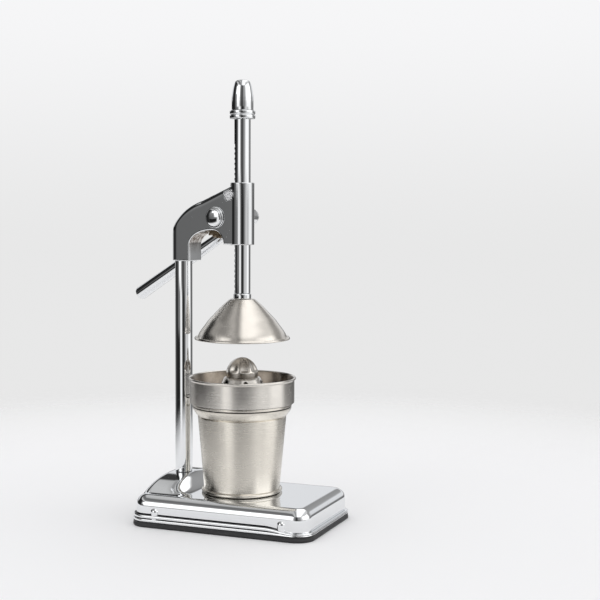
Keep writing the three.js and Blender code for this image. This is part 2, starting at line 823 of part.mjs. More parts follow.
// Strainer bowl: band, ledge on the cup's lip, perforated floor and a hollow skirt up to the reamer
function makeStrainer() {
  const plug = cupLipRadius - cupWall - slideGap;
  const wall = strainerWall;
  const mouth = bandRadius - wall;
  const hole = reamerScrewRadius + fitGap;
  const bowl = turned([
    [hole, skirtTop - wall],
    [skirtTopRadius - wall, skirtTop - wall],
    [skirtLowRadius - wall, strainerFloor],
    [plug - plugTaper, strainerFloor],
    [plug, ledgeHeight],
    [bandRadius, ledgeHeight],
    [bandRadius, rimHeight - rimBead],
    [rimRadius, rimHeight - rimBead / 2],
    [rimRadius - rimBead * rimRoundShare, rimHeight],
    [mouth, rimHeight],
    [mouth - wall / 2, ledgeHeight + wall],
    [plug - wall, ledgeHeight + wall],
    [plug - plugTaper - wall, strainerFloor + wall],
    [skirtLowRadius, strainerFloor + wall],
    [skirtTopRadius, skirtTop],
    [hole, skirtTop],
    [hole, skirtTop - wall],
  ]);
  const floorMiddle = (skirtLowRadius + plug - plugTaper - wall) / 2;
  const holes = [];
  for (let k = 0; k < floorHoles; k += 1) {
    const angle = k / floorHoles * fullTurn;
    const drill = rod(floorHoleRadius, strainerFloor - overrun, strainerFloor + wall + overrun, holeSteps);
    holes.push(drill.translate(floorMiddle * Math.cos(angle), floorMiddle * Math.sin(angle), 0));
  }
  const drainHeight = (skirtTop + rimHeight) / 2 - rimBead;
  for (let k = 0; k < drainHoles; k += 1) {
    const drill = alongX(rod(drainRadius, skirtTopRadius - overrun, skirtLowRadius, holeSteps));
    const turn = k / drainHoles * fullTurn + drainPhase;
    holes.push(drill.translate(0, 0, drainHeight - drainRadius).rotateZ(turn));
  }
  return cut(bowl, ...holes);
}

// Ribbed reamer on a plain neck
function makeReamer() {
  const low = skirtTop + fitGap;
  const neckHigh = low + reamerNeckHeight;
  const count = reamerRibs * reamerRibSteps;
  const ringAt = (radius, height, ribShare) => Array.from({ length: count }, (_, i) => {
    const angle = i / count * fullTurn;
    const wave = 1 - ribShare * (1 + Math.cos(reamerRibs * angle)) / 2;
    return [radius * wave * Math.cos(angle), radius * wave * Math.sin(angle), height];
  });
  const rings = [
    ...reamerShares.slice().reverse().map(([out, up]) => (
      ringAt(reamerRadius * out, neckHigh + reamerDomeHeight * up, reamerRibShare)
    )),
    ringAt(reamerRadius, neckHigh, 0),
    ringAt(reamerRadius, low, 0),
  ];
  const body = lofted(rings, [0, 0, neckHigh + reamerDomeHeight], [0, 0, low]);
  return cut(body, rod(reamerScrewRadius + fitGap, low - overrun, low + reamerScrewLength));
}

// The assembly
const press = new THREE.Group();

function add(parent, name, geometry, material, place = [0, 0, 0]) {
  const mesh = new THREE.Mesh(geometry, material);
  mesh.name = name;
  mesh.position.set(...place);
  parent.add(mesh);
  return mesh;
}

// Base, turned under the arm about the press axis
const base = new THREE.Group();
base.rotation.z = baseTurn;
press.add(base);
add(base, 'rubber_foot', makeRubberFoot(), rubber);
add(base, 'base_shell', makeBaseShell(), chrome);
footScrewPlaces().forEach(([x, y], index) => {
  const seat = footHeadSink + footHeadHeight;
  const geometry = screw(footScrewRadius, footScrewLength, footHeadRadius, footHeadHeight, seat);
  add(base, `foot_screw_${index + 1}`, geometry, steel, [x, y, 0]);
});

// Column and head
const column = new THREE.Group();
column.position.x = -reach;
press.add(column);
add(column, 'column_rod', makeColumn(), chrome);
const spigotBore = spigotRadius + fitGap;
add(column, 'column_washer', ring(columnWasherRadius, spigotBore, columnWasherLow, columnWasherHigh), steel);
add(column, 'column_nut', hexNut(columnNutWidth, spigotBore, columnNutLow, columnNutHigh), steel);
headScrewHeights().forEach((height, index) => {
  add(column, `head_screw_${index + 1}`, makeHeadScrew(), steel, [0, 0, height]);
});
add(press, 'head_casting', makeHead(), chrome);
const bushOuter = ramRadius + fitGap + bushWall;
const bushInner = ramRadius + fitGap;
const ramBush = (low, high) => ring(bushOuter, bushInner, low, high, roundSteps);
add(press, 'upper_bush', ramBush(sleeveHigh - upperBushLength, sleeveHigh), bronze);
add(press, 'lower_bush', ramBush(sleeveLow, sleeveLow + lowerBushLength), bronze);

// Shaft bushes in the two cheeks, and the crank that turns in them
const crank = new THREE.Group();
crank.position.set(-pivotOffset, 0, pivotHeight);
press.add(crank);
const shaftBore = shaftRadius + fitGap;
const shaftBush = () => alongY(ring(shaftBore + shaftBushWall, shaftBore, cheekInner, cheekOuter));
add(crank, 'rear_shaft_bush', shaftBush(), bronze);
add(crank, 'front_shaft_bush', shaftBush().rotateZ(2 * quarterTurn), bronze);
add(crank, 'pinion_shaft', makeShaft(), steel);
add(crank, 'pinion', makePinion(), steel);
add(crank, 'pinion_key', keyBlock(0), steel);
const frontWasherLow = frontFace - capFlangeThickness;
const frontWasher = ring(capFlangeRadius, shaftBore, frontWasherLow, frontFace, roundSteps);
add(crank, 'front_washer', alongY(frontWasher), chrome);
const frontNut = domeNut(capRadius, capBrim, capDome, shaftBore, capBoreDepth);
add(crank, 'front_cap', frontNut.rotateX(quarterTurn), chrome, [0, frontNutFace, 0]);
add(crank, 'lever_spacer', alongY(ring(spacerRadius, shaftBore, cheekOuter + fitGap, hubLow - fitGap)), chrome);
const leverWasher = ring(endWasherRadius, shaftBore, leverWasherLow, leverWasherHigh);
add(crank, 'lever_washer', alongY(leverWasher), chrome);
const endNut = domeNut(endNutRadius, endNutBrim, endNutDome, shaftBore, endNutBrim + fitGap);
add(crank, 'lever_nut', alongY(endNut), chrome, [0, leverNutFace, 0]);

const lever = new THREE.Group();
lever.position.y = leverPlane;
lever.rotation.y = 2 * quarterTurn - leverDrop;
crank.add(lever);
add(lever, 'lever_hub', makeHub(), chrome);
add(lever, 'lever_bar', makeLeverBar(), chrome);
const hubScrew = rod(hubScrewRadius, -hubRadius + hubScrewSink, -shaftBore, holeSteps);
add(lever, 'hub_screw', alongX(hubScrew), steel);

// Ram and press cone
add(press, 'ram_rod', makeRam(), chrome);
add(press, 'cap_collar', makeCapCollar(), chrome);
add(press, 'ram_cap', makeBullet(), chrome);
add(press, 'cone_collar', ring(coneCollarRadius, coneScrewRadius + fitGap, coneCollarLow,
  coneCollarLow + coneCollarHeight), chrome);
add(press, 'press_cone', makeCone(), brushed);
add(press, 'cone_washer', ring(coneWasherRadius, coneScrewRadius + fitGap, coneWasherLow,
  coneWasherLow + coneWasherThickness), steel);
const coneScrew = screw(coneScrewRadius, coneScrewLength, coneHeadRadius, coneHeadHeight, coneHeadTop);
add(press, 'cone_screw', coneScrew, steel);

// Cup, strainer and reamer
add(press, 'juice_cup', makeCup(), brushed);
add(press, 'strainer_bowl', makeStrainer(), brushed);
add(press, 'reamer', makeReamer(), brushed);
const reamerSeat = skirtTop - strainerWall - fitGap;
add(press, 'reamer_screw', screw(reamerScrewRadius, reamerScrewLength, reamerHeadRadius, reamerHeadHeight,
  reamerSeat), steel);

export default press;
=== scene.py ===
# %% [markdown]
# # A lever press for citrus fruit
# The press is a small machine of chromed and spun steel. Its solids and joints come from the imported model,
# and this lesson dresses them: every visible piece gets a fine mesh and a finish of its own.
# Chrome has almost no colour. What shows is what it mirrors, so smooth surfaces and a believable studio
# matter more here than paint, and both get most of the steps below.

from math import cos, pi, radians, sin, sqrt, tan

import bpy
import numpy as np
from mathutils import Matrix, Vector


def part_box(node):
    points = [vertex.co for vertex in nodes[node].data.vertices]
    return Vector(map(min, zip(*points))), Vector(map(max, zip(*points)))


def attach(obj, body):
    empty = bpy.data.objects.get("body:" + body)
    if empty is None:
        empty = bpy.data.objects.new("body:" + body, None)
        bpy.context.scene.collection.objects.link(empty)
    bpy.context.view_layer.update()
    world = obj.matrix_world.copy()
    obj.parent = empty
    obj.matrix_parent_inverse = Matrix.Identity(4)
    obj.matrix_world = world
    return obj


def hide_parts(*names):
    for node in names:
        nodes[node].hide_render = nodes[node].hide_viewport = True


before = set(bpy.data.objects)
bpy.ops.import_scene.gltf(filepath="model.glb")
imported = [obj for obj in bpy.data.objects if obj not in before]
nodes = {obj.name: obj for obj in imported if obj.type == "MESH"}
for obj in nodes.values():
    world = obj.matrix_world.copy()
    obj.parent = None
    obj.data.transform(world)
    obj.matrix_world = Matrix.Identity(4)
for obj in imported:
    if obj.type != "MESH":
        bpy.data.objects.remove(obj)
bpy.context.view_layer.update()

# %% [markdown]
# ## Units and places
# Sizes of small machines are easier to read in millimetres, while Blender counts in metres. So points are
# written in millimetres, and one helper turns them into metres when a mesh is made. `span` and `ends_of` ask
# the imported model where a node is, so no place is guessed twice. `FIT` is the air left between two pieces
# that meet.

# %% Units and places
MM = 0.001
FIT = 0.3


def span(node):
    """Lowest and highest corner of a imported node, in millimetres."""
    low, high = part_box(node)
    return low / MM, high / MM


def ends_of(node, axis="z"):
    """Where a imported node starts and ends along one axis."""
    return [getattr(corner, axis) for corner in span(node)]


def put_in_scene(name, data):
    made = bpy.data.objects.new(name, data)
    bpy.context.scene.collection.objects.link(made)
    return made


head_low = ends_of("head_casting")[0]
sleeve_low, sleeve_high = ends_of("lower_bush")[0], ends_of("upper_bush")[1]
shell_low, hill_top = ends_of("base_shell")
column_x = sum(ends_of("column_rod", "x")) / 2
pivot = sum(span("pinion"), Vector()) / 2
print("pivot at", [round(value, 2) for value in pivot], "head from", round(head_low, 2))

# %% [markdown]
# ## Camera
# The photograph was taken from the front right, a little above the middle of the press, with a long lens.
# The camera's three axes are built from its azimuth, its dip and a slight roll, which is clearer than
# turning Euler angles by hand.

# %% Camera
CAMERA_PLACE = Vector((709.4, -1011.5, 305.5)) * MM
CAMERA_AZIMUTH = radians(32.55)
CAMERA_DIP = radians(4.48)
CAMERA_ROLL = radians(0.28)
SENSOR = 36.0
PHOTO_WIDTH = 600
FOCAL_PIXELS = 1329.35


def make_camera():
    level = Vector((cos(CAMERA_AZIMUTH), sin(CAMERA_AZIMUTH), 0))
    forward = Vector((-sin(CAMERA_AZIMUTH), cos(CAMERA_AZIMUTH), 0))
    back = sin(CAMERA_DIP) * Vector((0, 0, 1)) - cos(CAMERA_DIP) * forward
    upright = back.cross(level)
    right = cos(CAMERA_ROLL) * level + sin(CAMERA_ROLL) * upright
    up = cos(CAMERA_ROLL) * upright - sin(CAMERA_ROLL) * level
    lens = bpy.data.cameras.new("photo_camera")
    lens.sensor_width = SENSOR
    lens.lens = FOCAL_PIXELS / PHOTO_WIDTH * SENSOR
    made = put_in_scene("photo_camera", lens)
    turn = Matrix((right, up, back)).transposed().to_4x4()
    made.matrix_world = Matrix.Translation(CAMERA_PLACE) @ turn
    bpy.context.scene.camera = made
    return made


camera = make_camera()
bpy.context.scene.view_settings.view_transform = "Standard"
print("lens", round(camera.data.lens, 2), "mm")

# %% [markdown]
# ## Shader helpers
# A material is a small graph. `add_node` makes one node, sets plain numbers on its sockets and links other
# nodes' outputs, so each finish below reads as a list of what it is made of.

# %% Shader helpers


def add_node(tree, kind, inputs=None, **settings):
    made = tree.nodes.new(kind)
    for name, value in settings.items():
        setattr(made, name, value)
    for name, value in (inputs or {}).items():
        socket = made.inputs[name]
        if isinstance(value, bpy.types.NodeSocket):
            tree.links.new(value, socket)
        else:
            socket.default_value = value
    return made


def count_up(tree, operation, *values, clamp=False):
    """One Math node, from numbers or other nodes' outputs."""
    inputs = dict(enumerate(values))
    return add_node(tree, "ShaderNodeMath", inputs, operation=operation, use_clamp=clamp).outputs[0]


def product(tree, first, second):
    return count_up(tree, "MULTIPLY", first, second)


def scaled(tree, value, factor, start, clamp=False):
    return count_up(tree, "MULTIPLY_ADD", value, factor, start, clamp=clamp)


def vector_math(tree, operation, *values):
    """One Vector Math node. A length or a dot product comes out as a plain number."""
    made = add_node(tree, "ShaderNodeVectorMath", dict(enumerate(values)), operation=operation)
    return made.outputs["Value" if operation in ("LENGTH", "DOT_PRODUCT") else "Vector"]


def split(tree, place):
    return add_node(tree, "ShaderNodeSeparateXYZ", {0: place}).outputs


def joined(tree, x=0.0, y=0.0, z=0.0):
    return add_node(tree, "ShaderNodeCombineXYZ", {0: x, 1: y, 2: z}).outputs[0]


def soft_step(tree, value, low, high, to_low=0.0, to_high=1.0):
    inputs = {"Value": value, "From Min": low, "From Max": high, "To Min": to_low, "To Max": to_high}
    return add_node(tree, "ShaderNodeMapRange", inputs, interpolation_type="SMOOTHSTEP").outputs["Result"]


def grey(brightness):
    return (brightness, brightness, brightness, 1)


def shade(tree, brightness):
    """A grey whose brightness another node gives."""
    return add_node(tree, "ShaderNodeCombineColor", dict.fromkeys(range(3), brightness)).outputs[0]


def angle_ramp(tree, angle, stops):
    """A ramp of grey over an angle: stops are (degrees, brightness)."""
    low, wide = stops[0][0], stops[-1][0] - stops[0][0]
    made = add_node(tree, "ShaderNodeValToRGB", {"Fac": scaled(tree, angle, 1 / wide, -low / wide)})
    band = made.color_ramp
    for index, (degrees, brightness) in enumerate(stops):
        share = (degrees - low) / wide
        stop = band.elements[index] if index < 2 else band.elements.new(share)
        stop.position = share
        stop.color = grey(brightness)
    return made.outputs["Color"]


def mix_colour(tree, factor, first, second, blend="MIX"):
    inputs = {0: factor, 6: first, 7: second}
    return add_node(tree, "ShaderNodeMix", inputs, data_type="RGBA", blend_type=blend).outputs[2]


def noise(tree, place, scale, detail=2.0, roughness=0.5):
    inputs = {"Vector": place, "Scale": scale, "Detail": detail, "Roughness": roughness}
    return add_node(tree, "ShaderNodeTexNoise", inputs).outputs["Fac"]


def stretched(tree, place, along_z):
    return add_node(tree, "ShaderNodeMapping", {"Vector": place, "Scale": (1.0, 1.0, along_z)}).outputs[0]


def bump_map(tree, height, strength, distance, under=None, invert=False):
    inputs = {"Strength": strength, "Distance": distance, "Height": height}
    if under is not None:
        inputs["Normal"] = under
    return add_node(tree, "ShaderNodeBump", inputs, invert=invert).outputs[0]


def marked(tree, name):
    """The shares that `mark` wrote on the mesh, nought where there are none."""
    return add_node(tree, "ShaderNodeAttribute", attribute_name=name).outputs["Fac"]


def new_material(name, base_color, metallic, roughness):
    material = bpy.data.materials.new(name)
    material.use_nodes = True
    tree = material.node_tree
    shader = tree.nodes["Principled BSDF"]
    shader.inputs["Base Color"].default_value = (*base_color, 1)
    shader.inputs["Metallic"].default_value = metallic
    shader.inputs["Roughness"].default_value = roughness
    place = add_node(tree, "ShaderNodeTexCoord").outputs["Object"]
    return material, tree, shader, place


def link_finish(tree, shader, colour, rough, bump):
    for name, value in (("Base Color", colour), ("Roughness", rough), ("Normal", bump)):
        tree.links.new(value, shader.inputs[name])


print("shader helpers ready")

# %% [markdown]
# ## Studio
# The press stands on a white table in a studio whose room is darker than the table. Chrome shows all of it:
# the white table below, the dim room just over the table's edge, tall soft panels on both sides, the
# darkness round the camera, and the pale backdrop behind. The world holds that studio as a pattern of
# directions. The ceiling has long soft boxes that run away from the camera, and slopes mirror them as rays
# that fan out. The camera itself sees only a plain pale background, and matt surfaces get one even light.

# %% Studio world
BACKGROUND_LOW, BACKGROUND_HIGH = (0.805, 0.805, 0.805, 1), (0.925, 0.925, 0.935, 1)
EVEN_LIGHT = (0.96, 0.96, 0.97, 1)
# Brightness above the level of the table, by degrees from the front (0) towards the right (90)
AROUND = [
    (-180, 0.24), (-158, 0.2), (-140, 0.03), (-84, 0.01), (-54, 0.02), (-46, 0.16), (-30, 0.22), (-26, 1.15),
    (-3, 1.15), (8, 0.25), (16, 0.15), (26, 0.03), (33, 0.03), (42, 0.2), (57, 0.24), (72, 0.63), (84, 1.15),
    (126, 1.15), (142, 0.24), (180, 0.24),
]
# Brightness below that level, past the table's edge
BELOW = [
    (-180, 0.12), (-130, 0.3), (-100, 0.3), (-84, 0.02), (-54, 0.02), (-44, 0.13), (-30, 0.19), (-14, 0.25),
    (-4, 1.05), (8, 1.1), (16, 0.3), (26, 0.02), (38, 0.02), (48, 0.08), (58, 0.35), (72, 0.75), (92, 0.6),
    (106, 1.1), (130, 1.1), (145, 0.2), (180, 0.12),
]
# Brightness of the ceiling, by degrees from straight up: left of the camera is below zero
CEILING = [
    (-90, 0.5), (-60, 0.7), (-48, 0.6), (-41, 0.2), (-30, 0.15), (-25, 0.5), (-18, 0.6), (-13, 0.36),
    (-9, 0.3), (-5, 0.6), (2, 1.4), (28, 1.5), (34, 1.1), (40, 0.65), (60, 0.75), (90, 0.5),
]
# Soft patches: brightness, then from where to where, in degrees sideways and up
PATCHES = [
    (0.9, (-180, -179), (179, 180), (-90, -89), (-24, -17)),
    (0.015, (-54, -46), (-20, -12), (-18, -14), (-5, -3.5)),
    (1.5, (-42, -38), (-27, -23), (12, 15), (24, 29)),
]
# The pale backdrop: its colour, where it starts and ends in degrees up, and how far round to the back
BACKDROP, BACKDROP_RISE, BACKDROP_DEPTH = (0.8, 0.81, 0.83, 1), ((3.5, 7.5), (17, 22)), (0.5, 0.75)
# Degrees up over which one part passes into the next
HORIZON, CEILING_RISE, BACKGROUND_RISE = (-0.5, 1.5), (33, 37), (-3, 9)
# The panels grow brighter upwards, by this factor
LIFT, LIFT_RISE = 1.5, (3, 12)


def make_world():
    world = bpy.data.worlds.new("studio")
    bpy.context.scene.world = world
    world.use_nodes = True
    tree = world.node_tree
    tree.nodes.clear()
    way = add_node(tree, "ShaderNodeTexCoord").outputs["Generated"]
    x, y, z = split(tree, way)
    to_right = vector_math(tree, "DOT_PRODUCT", way, (cos(CAMERA_AZIMUTH), sin(CAMERA_AZIMUTH), 0.0))
    to_back = vector_math(tree, "DOT_PRODUCT", way, (-sin(CAMERA_AZIMUTH), cos(CAMERA_AZIMUTH), 0.0))

    def in_degrees(*formula):
        return product(tree, count_up(tree, *formula), 180 / pi)

    def between(value, start, end):
        return product(tree, soft_step(tree, value, *start), soft_step(tree, value, *end, 1.0, 0.0))

    turn = in_degrees("ARCTAN2", x, product(tree, y, -1.0))
    rise = in_degrees("ARCSINE", z)
    lean = in_degrees("ARCTAN2", to_right, z)
    lift = shade(tree, soft_step(tree, rise, *LIFT_RISE, 1.0, LIFT))
    around = mix_colour(tree, 1.0, angle_ramp(tree, turn, AROUND), lift, "MULTIPLY")
    level = mix_colour(tree, soft_step(tree, rise, *HORIZON), angle_ramp(tree, turn, BELOW), around)
    for brightness, left, right, low, high in PATCHES:
        patch = product(tree, between(turn, left, right), between(rise, low, high))
        level = mix_colour(tree, patch, level, grey(brightness))
    backdrop = product(tree, between(rise, *BACKDROP_RISE), soft_step(tree, to_back, *BACKDROP_DEPTH))
    level = mix_colour(tree, backdrop, level, BACKDROP)
    studio = mix_colour(tree, soft_step(tree, rise, *CEILING_RISE), level, angle_ramp(tree, lean, CEILING))
    rays = add_node(tree, "ShaderNodeLightPath").outputs
    plain = mix_colour(tree, soft_step(tree, rise, *BACKGROUND_RISE), BACKGROUND_LOW, BACKGROUND_HIGH)
    seen = mix_colour(tree, rays["Is Camera Ray"], studio, plain)
    seen = mix_colour(tree, rays["Is Diffuse Ray"], seen, EVEN_LIGHT)
    light = add_node(tree, "ShaderNodeBackground", {"Color": seen, "Strength": 1.0})
    add_node(tree, "ShaderNodeOutputWorld", {"Surface": light.outputs[0]})


make_world()
print("studio world made")

# %% [markdown]
# ## Table
# The table is a wide disc. Near the press it is a matt white sheet that takes the shadow. Further out it
# thins into the plain background, so that no edge shows, and the chrome finds the dim room there. Mirrors see
# it end sooner, because it is lit most near the press.

# %% Table
TABLE_RADIUS, TABLE_STEPS = 4.0, 96
TABLE_FADE, MIRRORED_FADE = (0.35, 0.95), (0.22, 0.6)
TABLE_WHITE = (0.905, 0.905, 0.91)


def make_table():
    count = TABLE_STEPS
    turn = np.linspace(0, 2 * pi, count, endpoint=False)
    circle = np.stack([np.cos(turn), np.sin(turn), 0 * turn], axis=1)
    points = np.vstack([[[0, 0, 0]], TABLE_FADE[0] * circle, TABLE_RADIUS * circle])
    faces = [(0, 1 + i, 1 + (i + 1) % count) for i in range(count)]
    faces += [(1 + i, 1 + count + i, 1 + count + (i + 1) % count, 1 + (i + 1) % count) for i in range(count)]
    mesh = bpy.data.meshes.new("studio_table")
    mesh.from_pydata(points.tolist(), [], faces)
    material, tree, shader, place = new_material("white_table", TABLE_WHITE, 0.0, 0.9)
    shader.inputs["Specular IOR Level"].default_value = 0.1
    distance = vector_math(tree, "LENGTH", place)
    mirrored = add_node(tree, "ShaderNodeLightPath").outputs["Is Glossy Ray"]
    fades = [soft_step(tree, distance, *fade) for fade in (TABLE_FADE, MIRRORED_FADE)]
    fade = add_node(tree, "ShaderNodeMix", {0: mirrored, 2: fades[0], 3: fades[1]}).outputs[0]
    clear = add_node(tree, "ShaderNodeBsdfTransparent").outputs[0]
    mixed = add_node(tree, "ShaderNodeMixShader", {0: fade, 1: shader.outputs[0], 2: clear})
    tree.links.new(mixed.outputs[0], tree.nodes["Material Output"].inputs["Surface"])
    mesh.materials.append(material)
    table = put_in_scene("studio_table", mesh)


make_table()
print("table fades out between", TABLE_FADE, "m")

# %% [markdown]
# ## Chrome
# Plated steel is a near-perfect mirror with three small faults: a slow waviness from the polishing wheel,
# pits and dust that catch light, and thin smudges that dull it. One function makes every chrome finish, and
# only the strength of these faults changes: a rolled tube is truer than a cast head.

# %% Chrome finishes
# Noise patterns: scale, detail and roughness
WAVES, FILM, HAIRLINES = (55.0, 1.0), (28.0, 5.0, 0.6), (40.0, 4.0, 0.8)
SPECKS, SPECK_PATCHES = (900.0, 3.0, 0.7), (60.0, 2.0)
FROST_GLINT_EDGE, FROST_GLINT_GRAINS, RAW_STREAKS = (260.0, 3.0, 0.6), (700.0, 3.0, 0.7), (320.0, 4.0, 0.6)
# Colours of the painted shade in creases, of pits, of frost with its painted white glint, and of the raw
# inside of the arch
CREASE_SHADE, PITTED, FROST_AND_PAINTED_GLINT = (0.02, 0.02, 0.02, 1), (0.16, 0.15, 0.14, 1), (0.9, 0.9, 0.92, 1)
RAW_BROWN, RAW_PALE = (0.1, 0.066, 0.04, 1), (0.5, 0.47, 0.44, 1)
# The frosty corner with its painted white glint: what moves it to the origin, how it is squeezed, and where it
# fades, in metres
FROST_GLINT_PLACE, FROST_GLINT_SCALE, FROST_GLINT_REACH = (0.0085, 0.0105, -0.306), (0.75, 0.3, 0.8), (0.0035, 0.0085)


def paint_crease_shade(tree, colour, rough):
    """Painted shade in the creases that are marked for it."""
    seam = marked(tree, "seam")
    return mix_colour(tree, seam, colour, CREASE_SHADE), scaled(tree, seam, 0.3, rough)


def add_cast_faults(tree, shader, place, colour, rough, bump):
    """Frosty plating with a painted white glint in the corner by the sleeve, and the brown, half-plated inside
    of the arch.
    """
    near = vector_math(tree, "MULTIPLY", vector_math(tree, "ADD", place, FROST_GLINT_PLACE), FROST_GLINT_SCALE)
    away = scaled(tree, noise(tree, place, *FROST_GLINT_EDGE), 0.006, vector_math(tree, "LENGTH", near))
    near = soft_step(tree, away, *FROST_GLINT_REACH, 1.0, 0.0)
    frost_glints = product(tree, near, soft_step(tree, noise(tree, place, *FROST_GLINT_GRAINS), 0.38, 0.62))
    bump = bump_map(tree, frost_glints, 0.7, 0.0005, bump)
    # Painted highlight: the frosty corner is whitened to stand for its glints, and its grains lose metal so
    # that the white shows
    colour = mix_colour(tree, near, colour, FROST_AND_PAINTED_GLINT)
    tree.links.new(scaled(tree, frost_glints, -0.8, 1.0), shader.inputs["Metallic"])
    streaks = soft_step(tree, noise(tree, stretched(tree, place, 0.2), *RAW_STREAKS), 0.42, 0.62)
    brown = mix_colour(tree, streaks, RAW_BROWN, RAW_PALE)
    raw = marked(tree, "raw")
    colour = mix_colour(tree, raw, colour, brown)
    return colour, scaled(tree, raw, 0.16, scaled(tree, near, 0.32, rough)), bump


def make_chrome(name, wave, pits, smudge, base_color=(0.84, 0.85, 0.86), cast=False):
    material, tree, shader, place = new_material(name, base_color, 1.0, 0.05)
    specks = soft_step(tree, noise(tree, place, *SPECKS), 0.68, 0.76)
    specks = product(tree, specks, soft_step(tree, noise(tree, place, *SPECK_PATCHES), 0.5, 0.7))
    pit = product(tree, specks, pits)
    bump = bump_map(tree, noise(tree, place, *WAVES), wave, 0.0006)
    bump = bump_map(tree, pit, 0.4, 0.0002, bump, invert=True)
    film = product(tree, soft_step(tree, noise(tree, place, *FILM), 0.45, 0.75), smudge)
    hairlines = noise(tree, stretched(tree, place, 30.0), *HAIRLINES)
    rough = count_up(tree, "ADD", scaled(tree, hairlines, 0.05, 0.012), film)
    rough = scaled(tree, pit, 0.35, rough)
    colour = mix_colour(tree, product(tree, pit, 0.7), (*base_color, 1), PITTED)
    if cast:
        colour, rough, bump = add_cast_faults(tree, shader, place, colour, rough, bump)
    link_finish(tree, shader, *paint_crease_shade(tree, colour, rough), bump)
    return material


tube_chrome = make_chrome("tube_chrome", 0.02, 0.4, 0.03)
cast_chrome = make_chrome("cast_chrome", 0.05, 0.8, 0.05, (0.76, 0.77, 0.78), cast=True)
sheet_chrome = make_chrome("sheet_chrome", 0.05, 0.5, 0.05)
print("chrome finishes:", tube_chrome.name, cast_chrome.name, sheet_chrome.name)

# %% [markdown]
# ## Spun and turned steel
# The cone, cup and strainer are spun from stainless sheet and brushed as they turn, so fine rings run round
# them. Rings stretch every highlight across themselves, which gives the pale rays that fan down the cone.
# Anisotropic roughness does that, with its direction taken from the piece's own place round its axis.
# The rings themselves are noise that changes quickly along the axis and slowly round it.

# %% Spun steel
# Noise patterns again, and how slowly the rings change round the axis
BLOTCHES, RING_DETAIL, RING_TURN = (70.0, 4.0, 0.6), (4.0, 0.75), 0.0012
# The brown of juice stain and of painted shade inside the bowl
JUICE_AND_SHADE_BROWN = (0.2, 0.16, 0.12, 1)


def make_spun(name, base_color, roughness, anisotropy, ring_scale=1400.0, mottle=0.07):
    """Brushed steel, browned where the mesh is marked for juice stain and painted shade."""
    material, tree, shader, place = new_material(name, base_color, 1.0, roughness)
    x, y, z = split(tree, place)
    flat = joined(tree, x, y)
    turned = product(tree, count_up(tree, "ARCTAN2", y, x), RING_TURN)
    rings_at = joined(tree, vector_math(tree, "LENGTH", flat), turned, z)
    rings = noise(tree, rings_at, ring_scale, *RING_DETAIL)
    blotches = noise(tree, place, *BLOTCHES)
    rough = scaled(tree, blotches, mottle, scaled(tree, rings, 0.1, roughness - 0.05))
    grain = product(tree, scaled(tree, rings, 0.16, 0.92), scaled(tree, blotches, 0.16, 0.92))
    colour = mix_colour(tree, 1.0, (*base_color, 1), shade(tree, grain), "MULTIPLY")
    stain = product(tree, marked(tree, "stain"), scaled(tree, blotches, 0.5, 0.6, clamp=True))
    colour = mix_colour(tree, stain, colour, JUICE_AND_SHADE_BROWN)
    around = vector_math(tree, "CROSS_PRODUCT", (0.0, 0.0, 1.0), flat)
    tree.links.new(vector_math(tree, "NORMALIZE", around), shader.inputs["Tangent"])
    shader.inputs["Anisotropic Rotation"].default_value = 0.25
    shader.inputs["Anisotropic"].default_value = anisotropy
    link_finish(tree, shader, *paint_crease_shade(tree, colour, rough), bump_map(tree, rings, 0.08, 0.0001))
    return material


cone_steel = make_spun("cone_steel", (0.75, 0.71, 0.655), 0.22, 0.88)
cup_steel = make_spun("cup_steel", (0.76, 0.72, 0.65), 0.23, 0.88)
band_steel = make_spun("band_steel", (0.74, 0.71, 0.665), 0.22, 0.88)
turned_steel = make_spun("turned_steel", (0.55, 0.55, 0.55), 0.3, 0.3, 900.0)
greased_steel = make_spun("greased_steel", (0.16, 0.12, 0.08), 0.22, 0.3, 900.0, 0.3)
bearing_bronze = make_spun("bearing_bronze", (0.6, 0.44, 0.22), 0.34, 0.3, 900.0)
print("spun finishes:", cone_steel.name, cup_steel.name, band_steel.name)

# %% [markdown]
# ## Rubber
# The foot is moulded black rubber. It is nearly black, with a faint grey bloom, a fine pebbled skin and
# a little dust, and it is only slightly glossy. Its top and bottom edges are kept darker as painted shade.

# %% Rubber
BLOOM, PEBBLES = (45.0, 4.0, 0.6), (1800.0, 2.0)
RUBBER_DARK, RUBBER_PALE = (0.004, 0.004, 0.005, 1), (0.035, 0.035, 0.036, 1)
# Heights in metres between which the bloom starts, and between which it ends; below and above them the foot
# stays darker as painted shade
LIT_FACE_START, LIT_FACE_END = (0.0008, 0.002), (0.0048, 0.0038)


def make_rubber():
    material, tree, shader, place = new_material("black_rubber", (0.012, 0.012, 0.013), 0.0, 0.5)
    height = split(tree, place)["Z"]
    # Painted shade: the face between these heights is lighter, the edges above and below stay near-black
    face = product(tree, soft_step(tree, height, *LIT_FACE_START), soft_step(tree, height, *LIT_FACE_END))
    bloom = soft_step(tree, noise(tree, place, *BLOOM), 0.4, 0.8)
    bloom = product(tree, scaled(tree, bloom, 0.5, 0.5), face)
    colour = mix_colour(tree, bloom, RUBBER_DARK, RUBBER_PALE)
    bump = bump_map(tree, noise(tree, place, *PEBBLES), 0.25, 0.0001)
    link_finish(tree, shader, colour, scaled(tree, bloom, 0.25, 0.42), bump)
    return material


black_rubber = make_rubber()
print("rubber:", black_rubber.name)

# %% [markdown]
# ## Mesh helpers
# Most pieces here are turned on a lathe, so `lathe` sweeps a profile round the vertical axis. A profile is a
# list of (radius, height) corners, and a third number rounds a corner, because no real edge is knife-sharp
# and a rounded edge is what catches the light. `settle` gives a finished piece its finish and its body, and
# hides the imported node that it stands for. `keep_result` turns a modifier's work into a plain mesh.

# %% Mesh helpers
ROUND_STEPS = 160
FILLET_STEPS = 5
SHARP_ANGLE = radians(38)
ON_AXIS = 1e-6


